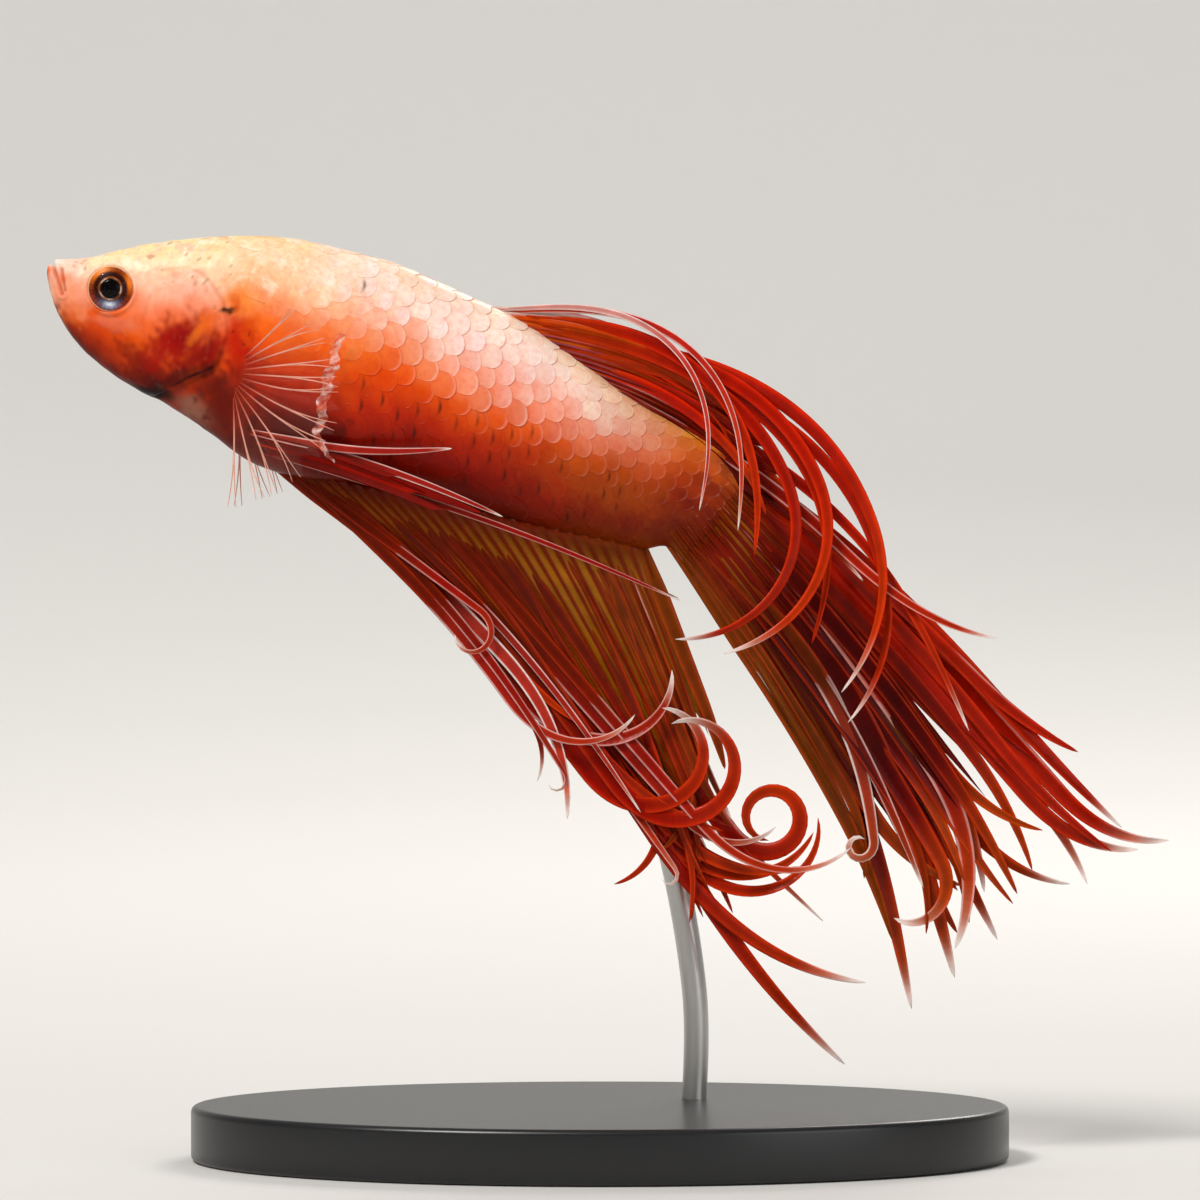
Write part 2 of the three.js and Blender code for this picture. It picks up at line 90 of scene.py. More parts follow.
FIN_ROOT = np.array([[9.6, 45.2], [8.8, 44.4], [4.4, 39.4], [3.6, 38.4]])  # where the tail fin begins
FIN_HUB = np.array([-6.0, 52.0])  # its rays spread from about here
CHEEK_GROOVE = np.array([[-28.4, 54.6], [-28.7, 53.2], [-28.6, 51.9], [-27.9, 50.8], [-26.8, 50.3]])


def smooth(x, low=0.0, high=1.0):
    """Eased step, 3t^2 - 2t^3 of the way from low to high: it rises to 1 at high, or falls to 0
    at low when low is the greater."""
    t = np.clip((np.asarray(x, float) - low) / (high - low), 0, 1)
    return t * t * (3 - 2 * t)


def spline(rows, u):
    """Uniform Catmull-Rom curve through the rows, u from 0 to 1, its ends carried on straight."""
    padded = np.vstack([2 * rows[0] - rows[1], rows, 2 * rows[-1] - rows[-2]])
    spans = len(rows) - 1
    k = np.clip((np.asarray(u) * spans).astype(int), 0, spans - 1)
    t = (u * spans - k)[..., None]
    a, b, c, d = (padded[k + i] for i in range(4))
    return (b + t * (c - a) / 2 + t**2 * (a - 2.5 * b + 2 * c - d / 2)
            + t**3 * (1.5 * (b - c) + (d - a) / 2))


def body_at(u, theta, grow=0.0):
    """Point on the body, mm: the section's middle, plus cos(theta) of its rise, and sin(theta)
    of its half width, widened above the middle; rise and half width both grown by grow."""
    row = spline(SECTIONS, np.asarray(u, float))
    back, belly, half = row[..., 0:2], row[..., 2:4], row[..., 4]
    rise = (back - belly) / 2
    height = np.linalg.norm(rise, axis=-1)
    up = np.cos(theta)
    share = up * (height + grow) / height
    xz = (back + belly) / 2 + rise * share[..., None]
    y = (half + grow) * np.sin(theta) * (1 + BACK_HEAVY * up)
    return np.stack([xz[..., 0], y, xz[..., 1]], axis=-1)


def line_gap(x, z, line):
    """Distance from each x, z to the nearest point of a line, mm, above 0 on the line's left."""
    start, step = line[:-1], np.diff(line, axis=0)
    dx = x[..., None] - start[:, 0]
    dz = z[..., None] - start[:, 1]
    t = np.clip((dx * step[:, 0] + dz * step[:, 1]) / (step**2).sum(1), 0, 1)
    gap = np.hypot(dx - t * step[:, 0], dz - t * step[:, 1])
    side = step[:, 0] * dz - step[:, 1] * dx
    near = gap.argmin(-1)[..., None]
    found = np.take_along_axis(gap, near, -1)[..., 0]
    return found * np.sign(np.take_along_axis(side, near, -1)[..., 0])


def ripple(p, size, seed, waves=14):
    """Smooth random field from about -1 to 1: cosines in random directions, one wavelength."""
    rng = np.random.default_rng(seed)
    way = rng.normal(size=(waves, p.shape[-1]))
    way /= np.linalg.norm(way, axis=1, keepdims=True)
    way *= 2 * np.pi / (size * rng.uniform(0.7, 1.5, (waves, 1)))
    return np.cos(p @ way.T + rng.uniform(0, 2 * np.pi, waves)).sum(-1) * np.sqrt(2 / waves) / 1.6


def bell(x, width=1.0):
    """Bell curve, the exponential of -(x / width)^2: 1 at 0, and a third at one width."""
    return np.exp(-((x / width) ** 2))


def oval(x, z, at_x, at_z, length, height, lean=0):
    """Squared distance from the middle of an oval leaning by some degrees, counted in its half
    length and half height, so 1 all along its outline."""
    turn = np.radians(lean)
    dx, dz = x - at_x, z - at_z
    along, above = dx * np.cos(turn) + dz * np.sin(turn), dz * np.cos(turn) - dx * np.sin(turn)
    return (along / length) ** 2 + (above / height) ** 2


GILL_POINTS, CHEEK_POINTS = 60, 24  # points along each smooth line
gill_line = spline(GILL_EDGE, np.linspace(0, 1, GILL_POINTS))
cheek_line = spline(CHEEK_GROOVE, np.linspace(0, 1, CHEEK_POINTS))


def head_relief(p, theta):
    """How far the skin of the head stands out of the plain body, mm: a sum of ridges and
    grooves, each a bell or a step of the distance to its own line, felt on the flanks only."""
    x, z = p[..., 0], p[..., 2]
    flank = smooth(np.abs(np.sin(theta)), 0.1, 0.45)
    lines = (gill_line, cheek_line, MOUTH, LIP_FOLD, JAW_FOLD)
    gill, cheek, mouth, lip, jaw = (line_gap(x, z, line) for line in lines)
    out = 0.15 * np.where(gill > 0, -bell(gill, 0.45), bell(gill, 0.5))
    out *= 0.4 + 0.6 * smooth(z, 52.0, 50.2)
    out += 0.05 * bell(gill + 1.2, 0.5) * (gill < 0)
    out += 0.05 * bell(cheek - 0.4, 0.35) - 0.09 * bell(cheek, 0.16)
    out -= 0.1 * bell(lip, 0.08) + 0.06 * bell(jaw, 0.09)
    for nostril in NOSTRILS:
        r = np.hypot(x - nostril[0], z - nostril[1])
        out += 0.05 * bell(r - 0.17, 0.08) - 0.14 * bell(r, 0.1)
    out += 0.35 * np.exp(-oval(x, z, -22.9, 49.7, 0.55, 1.15))  # lobe of the breast fin
    r = np.hypot(x - EYE[0], z - EYE[1]) - EYE_RADIUS
    out += 0.1 * bell(r - 0.12, 0.1) - 0.05 * bell(r - 0.42, 0.14) - SOCKET_DEPTH * smooth(r, 0.02, -0.2)
    lips = 0.1 * bell(mouth - 0.28, 0.16) + 0.07 * bell(mouth + 0.25, 0.14) - 0.3 * bell(mouth, 0.09)
    soft = ripple(p, 1.6, 3) * 0.02 + ripple(p, 0.6, 4) * 0.008
    return out * flank + lips + soft * smooth(x, -22.5, -25)


def linear(code):
    """Linear colour of an sRGB hex code."""
    s = np.array([int(code[i:i + 2], 16) for i in (1, 3, 5)]) / 255
    return np.where(s <= 0.04045, s / 12.92, ((s + 0.055) / 1.055) ** 2.4)


def blend(a, b, share):
    """Colour a passing into colour b, either as codes or as arrays."""
    a, b = (linear(colour) if isinstance(colour, str) else colour for colour in (a, b))
    share = np.clip(share, 0, 1)[..., None]
    return a * (1 - share) + b * share


def layered(tint, *layers):
    """The tint with each layer, a colour and its share, blended over it in turn."""
    for colour, share in layers:
        tint = blend(tint, colour, share)
    return tint


# Colours down the side, from the back (0) to the belly (1): on the head, on the flank before
# and behind its middle, and on the tail root. They are partly the fish's own colours and partly
# painted light: paler on the back as if lit from above, and darker towards the belly as painted shade.
HEAD_TONES = [
    (0.00, "#fce0a4"), (0.14, "#fee8c0"), (0.30, "#fecbae"), (0.42, "#fda07c"), (0.54, "#f8743c"),
    (0.66, "#e85808"), (0.78, "#d84400"), (0.90, "#a82a00"), (1.00, "#600c00"),
]
SHOULDER_TONES = [
    (0.00, "#f6cf90"), (0.10, "#fcdcb4"), (0.20, "#fcc292"), (0.30, "#fc9a64"), (0.40, "#fa762a"),
    (0.50, "#e64a00"), (0.64, "#b82400"), (0.80, "#880e00"), (1.00, "#5c1002"),
]
FLANK_TONES = [
    (0.00, "#f8d4ae"), (0.10, "#fce0d0"), (0.20, "#fbccbc"), (0.30, "#fa9e82"), (0.40, "#f58a64"),
    (0.50, "#e45814"), (0.64, "#b83400"), (0.80, "#8e1e00"), (1.00, "#742400"),
]
TAIL_TONES = [
    (0.00, "#c46c10"), (0.14, "#d06420"), (0.28, "#c65010"), (0.42, "#ac3802"), (0.58, "#8c2000"),
    (0.80, "#741c00"), (1.00, "#7c3000"),
]
# Patches: x, z, length, height (mm), lean (degrees), colour, strength.
PATCHES = [
    (-33.4, 57.0, 1.0, 0.7, 0, "#f6d2c0", 0.9),  # pale snout
    # the whitish upper lip is a painted highlight on the lip's rim
    (-34.5, 57.1, 0.5, 0.35, 0, "#fbeee8", 0.9),  # whitish upper lip
    (-34.6, 55.8, 0.5, 0.9, 0, "#f8bca4", 0.8),  # pink chin
    (-33.0, 55.0, 1.2, 1.2, 0, "#fdb496", 0.7),  # salmon before the eye
    (-30.8, 53.2, 1.8, 0.5, -12, "#e48468", 0.5),
    (-34.2, 55.0, 0.8, 0.9, 0, "#feb08c", 0.65),
    (-33.3, 53.8, 1.0, 0.9, 0, "#f27a30", 0.55),
    (-26.0, 55.2, 1.6, 0.9, -25, "#fbb49a", 0.8),  # pink top of the gill cover
    (-27.0, 53.3, 1.2, 1.1, 0, "#f86a30", 0.6),
    (-28.3, 50.2, 2.4, 0.8, -36, "#700400", 0.85),
    (-25.3, 50.9, 1.9, 0.9, 30, "#880400", 0.9),
    (-26.4, 52.1, 2.3, 1.25, 24, "#980000", 1.0),  # red bruise of the gill cover
    (-27.9, 51.3, 1.3, 0.8, 50, "#b01000", 0.75),
    (-25.4, 54.3, 1.0, 0.5, -30, "#f88a60", 0.6),
    (-25.3, 52.6, 0.35, 0.9, -38, "#f47820", 0.7),
    (-24.6, 53.2, 0.9, 0.5, 60, "#f06a1c", 0.7),
    (-24.5, 51.2, 0.8, 1.0, -20, "#8c0400", 0.8),
    (-28.4, 49.3, 1.8, 0.5, -32, "#5c0a00", 0.8),
    (-26.6, 49.7, 2.0, 0.45, 22, "#3c0200", 0.8),
    (-22.6, 54.6, 1.2, 1.2, 0, "#ff923c", 0.9),
    (-22.6, 52.0, 1.1, 1.8, 10, "#c01600", 1.0),  # red behind the gill cover
    (-24.7, 49.3, 1.8, 0.75, 5, "#7a1806", 0.85),
    (-22.8, 49.7, 0.7, 1.2, 0, "#a42408", 0.9),  # fleshy lobe of the breast fin
    (-19.4, 52.2, 3.2, 1.5, -14, "#f06008", 0.6),  # vivid orange behind the breast fin
    (-25.6, 47.7, 1.6, 0.7, -33, "#a06c58", 0.85),  # pale breast
    (-23.8, 46.9, 1.4, 0.8, -30, "#6c2414", 0.6),
    (-23.8, 48.2, 1.3, 1.8, 20, "#640e02", 0.9),  # dark red under the breast fin
    (-22.6, 45.6, 1.8, 0.8, -25, "#540c04", 0.7),
    (-19.0, 46.5, 3.4, 1.2, -12, "#4c0400", 0.85),
    # painted shadow under the lower edge of the gill cover, at the throat
    (-28.6, 48.75, 1.7, 0.42, -12, "#080202", 1.0),  # dark edge of the throat
    (4.8, 47.2, 5.0, 0.34, -31, "#e0a03c", 0.9),  # olive yellow ridge of the tail root
    (0.5, 43.0, 4.5, 1.6, -20, "#a84c08", 0.5),
]


def flesh(p, share):
    """Colour of the skin and of the scales alike: a ramp down the side, another on the head, paler
    above and darker below partly as painted light and shade, then soft oval patches, flecks on the
    crown and the dark seam under the gill cover, painted as shade."""
    x, z = p[..., 0], p[..., 2]
    wander = share + 0.035 * ripple(p, 5.0, 11) + 0.02 * ripple(p, 1.3, 12)
    ramps = []
    for tones in (SHOULDER_TONES, FLANK_TONES, HEAD_TONES, TAIL_TONES):
        stops, codes = zip(*tones)
        hues = np.array([linear(code) for code in codes])
        ramps.append(np.stack([np.interp(wander, stops, hue) for hue in hues.T], -1))
    on_head, on_tail = smooth(x, -21.5, -25.5), smooth(x + 0.4 * (45 - z), -5.0, 6.0)
    upper = smooth(share, 0.36, 0.2)
    pink = smooth(ripple(p, 1.5, 43) + 0.5 * ripple(p, 0.5, 44), 0.1, 1.1) * upper * on_head
    pale = smooth(ripple(p, 1.3, 45) + 0.6 * ripple(p, 0.4, 46), 0.2, 1.2) * upper * (1 - on_tail)
    # the ramps carry painted light on the back and painted shade towards the belly
    tint = layered(ramps[0], (ramps[1], smooth(x - 0.8 * (52 - z), -16.0, -7.0)), (ramps[2], on_head),
                   (ramps[3], on_tail), ("#fbc4ac", 0.65 * pink), ("#fff4dc", 0.6 * pale))
    ragged = np.maximum(1 + 0.4 * ripple(p, 1.1, 21) + 0.25 * ripple(p, 0.45, 22), 0.4)
    for *shape, code, strength in PATCHES:
        tint = blend(tint, code, strength * np.exp(-((oval(x, z, *shape) * ragged) ** 1.7)))

    gill = line_gap(x, z, gill_line)
    edge = bell(gill, 0.14) * smooth(z, 52.0, 54.0) * smooth(z, 56.9, 56.4)
    # the seam is painted shade in the gap under the gill cover's edge, fading out above
    seam = bell(gill + 0.02, 0.13 + 0.2 * smooth(x, -26.5, -28.5)) * smooth(z, 51.2, 50.2)
    seam = seam * (0.75 + 0.5 * ripple(p, 0.9, 31))
    spot = bell(oval(x, z - 0.1 * ripple(p, 0.5, 32), -23.5, 53.92, 0.52, 0.2))
    specks = smooth(ripple(p, 0.5, 34) + 0.5 * ripple(p * [1, 1, 0.4], 0.4, 35), 1.05, 1.5)
    dark = seam + spot + 0.75 * bell(oval(x, z, -23.2, 52.8, 1.6, 1.7)) * specks
    # painted shade along the lip fold and the mouth slit
    folds = bell(line_gap(x, z, LIP_FOLD), 0.1) + 0.7 * bell(line_gap(x, z, MOUTH), 0.1)
    ray = np.arctan2(z - FIN_HUB[1], x - FIN_HUB[0])
    stripe = 0.5 + 0.5 * np.cos(62 * ray + 0.8 * ripple(p, 2.0, 33))
    crease = smooth(ripple(p * [1.6, 1, 1], 0.7, 51) + 0.5 * ripple(p, 0.4, 52), 0.2, 1.5)
    fleck = smooth(ripple(p, 0.55, 41) + 0.6 * ripple(p, 1.6, 42), 1.0, 1.5)
    return layered(
        tint,
        ("#dc6c44", 0.4 * edge),
        # the seam in this dark layer is painted shade
        ("#1c0604", 0.93 * np.clip(dark, 0, 1)),
        # painted shade in the lip fold and the mouth slit
        ("#a83c22", 0.6 * np.clip(folds, 0, 1)),
        ("#6c1402", 0.6 * stripe * smooth(line_gap(x, z, FIN_ROOT), -3.2, 0.0)),
        ("#ffb27c", 0.05 * crease * bell(oval(x, z, -26.6, 52.6, 3.4, 2.6))),
        ("#a85a30", 0.45 * fleck * smooth(share, 0.4, 0.25) * smooth(x, -18.0, -24.0)),
    )


def add_node(tree, kind, values=None, links=None):
    """Adds one shader node; values go to its settings or its sockets, links, from a socket or
    from a node's first output, to its sockets."""
    node = tree.nodes.new("ShaderNode" + kind)
    for key, value in (values or {}).items():
        if isinstance(key, str) and hasattr(node, key):
            setattr(node, key, value)
        else:
            node.inputs[key].default_value = value
    for key, source in (links or {}).items():
        tree.links.new(source.outputs[0] if hasattr(source, "outputs") else source, node.inputs[key])
    return node


def grained(tree, place, scale, detail, strength, depth):
    """Noise over the object, and the relief it gives the surface; depth in metres."""
    noise = add_node(tree, "TexNoise", {"Scale": scale, "Detail": detail}, {"Vector": place})
    return noise, add_node(tree, "Bump", {"Strength": strength, "Distance": depth}, {"Height": noise})


def new_material(name):
    """An empty node material: its tree, and its output."""
    material = bpy.data.materials.new(name)
    material.use_nodes = True
    material.node_tree.nodes.clear()
    return material, material.node_tree, material.node_tree.nodes.new("ShaderNodeOutputMaterial")


def new_object(name, data):
    """An object in the scene that shows the data."""
    made = bpy.data.objects.new(name, data)
    bpy.context.scene.collection.objects.link(made)
    return made


def new_piece(name, points, faces, material, tint=None, maps=None):
    """A mesh object from arrays: points in mm, faces as one array for each count of corners,
    tint a colour for each point, maps UV maps by name with a place for each face corner."""
    mesh = bpy.data.meshes.new(name)
    corners = np.concatenate([f.ravel() for f in faces]).astype(np.int32)
    sizes = np.concatenate([np.full(len(f), f.shape[1]) for f in faces])
    starts = (np.cumsum(sizes) - sizes).astype(np.int32)
    mesh.vertices.add(len(points))
    mesh.vertices.foreach_set("co", (points * MM).astype(np.float32).ravel())
    mesh.loops.add(len(corners))
    mesh.loops.foreach_set("vertex_index", corners)
    mesh.polygons.add(len(sizes))
    mesh.polygons.foreach_set("loop_start", starts)
    mesh.polygons.foreach_set("use_smooth", np.ones(len(sizes), bool))
    mesh.update(calc_edges=True)
    if tint is not None:
        paint = mesh.color_attributes.new("tint", "FLOAT_COLOR", "POINT")
        rgba = np.concatenate([tint, np.ones((len(tint), 1))], 1).astype(np.float32)
        paint.data.foreach_set("color", rgba.ravel())
    for key, places in (maps or {}).items():
        layer = mesh.uv_layers.new(name=key)
        layer.data.foreach_set("uv", places.astype(np.float32).ravel())
    mesh.materials.append(material)
    made = new_object(name, mesh)
    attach(made, "root")
    return made


def grid_faces(rows, columns, wrap=False):
    """Corner numbers of the quads of a grid of points, row after row; wrap joins the last
    column to the first."""
    r, c = np.meshgrid(np.arange(rows - 1), np.arange(columns if wrap else columns - 1), indexing="ij")
    here, right = r * columns + c, r * columns + (c + 1) % columns
    return np.stack([here, here + columns, right + columns, right], -1).reshape(-1, 4)


def capped_faces(rings, sides):
    """Faces of a closed skin over rings of points: quads from ring to ring, and at both ends a
    fan to a pole, the two poles being the last points."""
    here = np.arange(sides)
    after, last, poles = (here + 1) % sides, (rings - 1) * sides, 0 * here + rings * sides
    fans = [np.stack([poles, here, after], 1), np.stack([poles + 1, last + after, last + here], 1)]
    return [grid_faces(rings, sides, wrap=True), np.concatenate(fans)]


def unit(vectors):
    """The vectors at length 1."""
    return vectors / (np.linalg.norm(vectors, axis=-1, keepdims=True) + 1e-9)


def turns(sides):
    """Equal angles once round, radians."""
    return np.arange(sides) / sides * 2 * np.pi


ring_u = np.concatenate([
    np.linspace(0, HEAD_END, HEAD_RINGS, endpoint=False),
    np.linspace(HEAD_END, 1, TRUNK_RINGS),
])
u, theta = np.meshgrid(ring_u, turns(SKIN_SIDES), indexing="ij")
skin = body_at(u, theta, -SKIN_DEPTH)
nose = np.sqrt(1 - np.clip(1 - u / NOSE_ROUND, 0, 1) ** 2)
tail = np.sqrt(1 - np.clip(1 - (1 - u) / TAIL_ROUND, 0, 1) ** 2)
middle = skin.mean(axis=1, keepdims=True)
skin = middle + (skin - middle) * (nose * tail)[..., None]
outward = unit(np.cross(np.roll(skin, -1, 1) - np.roll(skin, 1, 1), np.gradient(skin, axis=0)))
outward *= np.sign((outward * (skin - middle)).sum(-1).mean())
skin_tint = flesh(skin, (1 - np.cos(theta)) / 2)
skin += outward * (head_relief(skin, theta) * nose)[..., None]

skin_material, tree, output = new_material("wet_fish_skin")
# Wet skin: soft inside and glossy on top, with pores and faint wrinkles about 0.2 mm apart.
paint = add_node(tree, "Attribute", {"attribute_name": "tint"})
place = add_node(tree, "TexCoord").outputs["Object"]
relief = grained(tree, place, 5500.0, 3.0, 0.35, 0.00006)[1]
mottle = add_node(tree, "TexNoise", {"Scale": 1500.0, "Detail": 4.0, "Roughness": 0.7},
                  {"Vector": place})
blood = add_node(tree, "MapRange", {"From Min": 0.35, "From Max": 0.7, "To Max": 0.62},
                 {"Value": mottle})
colour = add_node(tree, "Mix", {"data_type": "RGBA", "blend_type": "MULTIPLY", 7: (0.92, 0.66, 0.52, 1)},
                  {0: blood, 6: paint})
surface = add_node(tree, "BsdfPrincipled", {
    "Roughness": 0.42, "IOR": 1.4, "Specular IOR Level": 0.1, "Coat Weight": 0.06,
    "Coat Roughness": 0.12, "Subsurface Weight": 0.25, "Subsurface Scale": 0.0004,
    "Subsurface Radius": (1.0, 0.35, 0.2),
}, {"Base Color": colour.outputs[2], "Normal": relief})
tree.links.new(surface.outputs[0], output.inputs[0])

points = np.concatenate([skin.reshape(-1, 3), skin[[0, -1]].mean(1)])
tint = np.concatenate([skin_tint.reshape(-1, 3), skin_tint[[0, -1], 0]])
skin_piece = new_piece("skin", points, capped_faces(len(ring_u), SKIN_SIDES), skin_material, tint)
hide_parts("head", "lower_jaw", "gill_cover_left", "gill_cover_right", "trunk", "tail_root")

# ---------- eyes
# Each eye is a ball sunk in its socket: a dark red-brown iris with orange at its upper rim, a
# thin gold ring round the pupil, the black lens swelling from the pupil, and a clear cornea
# over all. They are set in loose, with a thin pale rim of skin.

EYE_SIDE = 1.95  # mm from the middle plane to the eye's own middle
IRIS_RADIUS = 1.42
PUPIL_RADIUS = 0.60
RING_RADIUS = 0.72
IRIS_RISE = 0.62  # mm the iris stands out of the eye's middle at the pupil
CORNEA_RISE = 0.93
EYE_TURNS = 96


def turned_disc(name, radii, rises, material, side, paint=None):
    """A closed round piece facing out of the head: rises[k] mm outward at radii[k] from the
    eye's axis, from the front pole round the edge to the back pole."""
    r, a = np.meshgrid(radii, turns(EYE_TURNS), indexing="ij")
    out = side * (EYE_SIDE + rises[:, None] + 0 * a)
    disc = np.stack([EYE[0] + r * np.cos(a), out, EYE[1] + r * np.sin(a)], -1)
    points = np.concatenate([disc[1:-1].reshape(-1, 3), disc[[0, -1], 0]])
    faces = [f[:, ::-side] for f in capped_faces(len(radii) - 2, EYE_TURNS)]
    return new_piece(name, points, faces, material, None if paint is None else paint(points))


def iris_paint(p):
    """Colours by radius and by angle: pupil, gold ring with painted sparkles of light, dark iris with
    orange crescents at the upper rim, blue silver below as a painted highlight whitest in its middle,
    and a pale rim."""
    dx, dz = p[:, 0] - EYE[0], p[:, 2] - EYE[1]
    r, a = np.hypot(dx, dz), np.arctan2(dz, dx)
    streak = 0.5 + 0.5 * np.cos(37 * a + 3 * np.cos(11 * a))
    upper, below = bell(a - 2.1, 0.6) + bell(a - 0.25, 0.45), bell(a + 1.62, 0.5)
    # where painted sparkles of light fall round the ring
    spark = smooth(np.cos(5 * a + 1) + np.cos(3 * a), -0.6, 1.2)
    return layered(
        "#3c0c02",
        ("#a43408", 0.75 * smooth(r, 0.95, 1.3) * (0.35 + 0.65 * streak)),
        ("#0c0402", 0.5 * bell(r - 0.9, 0.1)),
        ("#ff8408", upper * smooth(r, 1.02, 1.2)),
        # painted highlight below: blue silver, then its whitest part
        ("#8fa8d0", below * smooth(r, 0.72, 0.9) * smooth(r, 1.38, 1.2) * (0.6 + 0.4 * streak)),
        ("#f2f6fc", below**3 * bell(r - 1.0, 0.12)),
        ("#c8702c", bell(r - RING_RADIUS, 0.04) * (0.5 + 0.2 * np.sin(a))),
        # painted sparkles of light round the pupil
        ("#f0dccc", 0.85 * spark * bell(r - RING_RADIUS + 0.05, 0.03)),
        ("#f2c49c", 0.9 * smooth(r, 1.36, 1.4)),
        ("#050404", smooth(r, PUPIL_RADIUS + 0.03, PUPIL_RADIUS)),
    )


iris_material, tree, output = new_material("iris")
# Iris: moist pigmented tissue with guanine glitter, finely streaked outward from the pupil.
paint = add_node(tree, "Attribute", {"attribute_name": "tint"})
place = add_node(tree, "TexCoord").outputs["Object"]
glitter, relief = grained(tree, place, 9000.0, 2.0, 0.3, 0.00004)
shade = add_node(tree, "MapRange", {"To Min": 0.7, "To Max": 1.4}, {"Value": glitter})
colour = add_node(tree, "VectorMath", {"operation": "SCALE"},
                  {0: paint, "Scale": shade})
surface = add_node(tree, "BsdfPrincipled", {"Roughness": 0.3, "IOR": 1.38, "Specular IOR Level": 0.25},
                   {"Base Color": colour, "Normal": relief})
tree.links.new(surface.outputs[0], output.inputs[0])

lens_material, tree, output = new_material("eye_lens")
# The lens in the pupil: black to look at, and as smooth as glass.
place = add_node(tree, "TexCoord").outputs["Object"]
haze = add_node(tree, "TexNoise", {"Scale": 1500.0}, {"Vector": place})
tone = add_node(tree, "Mix", {"data_type": "RGBA", 6: (*linear("#040303"), 1), 7: (*linear("#0b0707"), 1)},
                {0: haze})
surface = add_node(tree, "BsdfPrincipled", {"Roughness": 0.06, "IOR": 1.42, "Specular IOR Level": 0.15},
                   {"Base Color": tone.outputs[2]})
tree.links.new(surface.outputs[0], output.inputs[0])

cornea_material, tree, output = new_material("cornea")
# Clear cornea: it shows as its gloss, and lets the iris through.
surface = add_node(tree, "BsdfPrincipled", {
    "Base Color": (*linear("#100c0a"), 1), "Roughness": 0.03, "IOR": 1.38, "Alpha": 0.06,
    "Specular IOR Level": 0.25,
})
tree.links.new(surface.outputs[0], output.inputs[0])

front_r = np.append(0, np.linspace(0.1, IRIS_RADIUS, 26))
iris_r = np.append(front_r, [IRIS_RADIUS + 0.04, IRIS_RADIUS, 1.0, 0])
iris_out = np.append(IRIS_RISE - 0.04 - 0.34 * (front_r / IRIS_RADIUS) ** 2.4, [0.1, -0.25, -0.55, -0.7])
half_turn, quarter = np.linspace(0, np.pi, 20), np.linspace(0, np.pi / 2, 18)
lens_r = PUPIL_RADIUS * np.sin(half_turn)
lens_out = IRIS_RISE - 0.1 + 0.17 * np.cos(half_turn)
cornea_r = np.append(IRIS_RADIUS * np.sin(quarter), [IRIS_RADIUS - 0.06, 0.7, 0])
cornea_out = np.append(0.2 + (CORNEA_RISE - 0.2) * np.cos(quarter) ** 0.9, [0.16, 0.14, 0.14])
for side, word in ((-1, "left"), (1, "right")):
    ball = turned_disc(f"eye_{word}_ball", iris_r, iris_out, iris_material, side, iris_paint)
    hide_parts(f"eye_{word}")
    turned_disc(f"eye_{word}_lens", lens_r, lens_out, lens_material, side)
    turned_disc(f"eye_{word}_cornea", cornea_r, cornea_out, cornea_material, side)

# ---------- scales
# About 650 thin overlapping scales, each rooted under the one before it, its round rear
# edge free. Those of the back and upper side are pale with a pink edge, with a nacreous painted
# sheen towards the free edge and a painted highlight line just inside it, standing for light from
# above; lower ones are the colour of the skin, and some have a black fleck at the root. They lie in
# rings, staggered.

SCALE_START = 7.0  # mm along the flank from the lips
RING_PITCH = 1.25  # mm from ring to ring
SCALE_PITCH = 1.4  # mm from scale to scale round a ring, every second ring set half a scale on
SCALE_LENGTH = 2.5
SCALE_WIDTH = 1.64
SCALE_EDGE = 0.025  # mm thick
SCALE_TILT = 0.115  # mm that the free edge stands above the root
SCALE_DOME = 0.05
SCALE_RINGS = 44
SCALES_EACH_WAY = 8
# the pale line at EDGE_STOP is a painted highlight just inside the free edge
FLECK_STOP, EDGE_STOP = 0.69, 0.955  # shares of a scale's length with the fleck and pale line
ALONG_STOPS = np.array([0.0, 0.3, 0.5, 0.62, FLECK_STOP, 0.76, 0.89, EDGE_STOP, 1.0])
ACROSS_STOPS = np.linspace(-np.pi / 2, np.pi / 2, 11)  # turned into sines
PATCH = 0.02  # width of one scale's patch on the unrolled flank's map
FLANK_SPAN = 12.0  # mm that the unrolled flank reaches up and down from mid side

MAP_RINGS, MAP_SIDES, MAP_LEVELS = 400, 240, 480  # steps of the tables of the unrolled flank


def running(steps):
    """Running sum along the last axis, from 0."""
    return np.concatenate([np.zeros((*steps.shape[:-1], 1)), np.cumsum(steps, -1)], -1)


# The flank unrolled: arc along the middle line, and arc round each section up from mid side.
map_u = np.linspace(0, 1, MAP_RINGS + 1)
map_theta = np.linspace(0, np.pi, MAP_SIDES + 1)
net = body_at(*np.meshgrid(map_u, map_theta, indexing="ij"))
mid_line = net[:, MAP_SIDES // 2, [0, 2]]
arc_along = running(np.linalg.norm(np.diff(mid_line, axis=0), axis=1))
arc_up = -running(np.linalg.norm(np.diff(net, axis=1), axis=2))
arc_up -= arc_up[:, MAP_SIDES // 2, None]
levels = np.linspace(-FLANK_SPAN, FLANK_SPAN, MAP_LEVELS + 1)
theta_at = np.array([np.interp(levels, row[::-1], map_theta[::-1]) for row in arc_up])


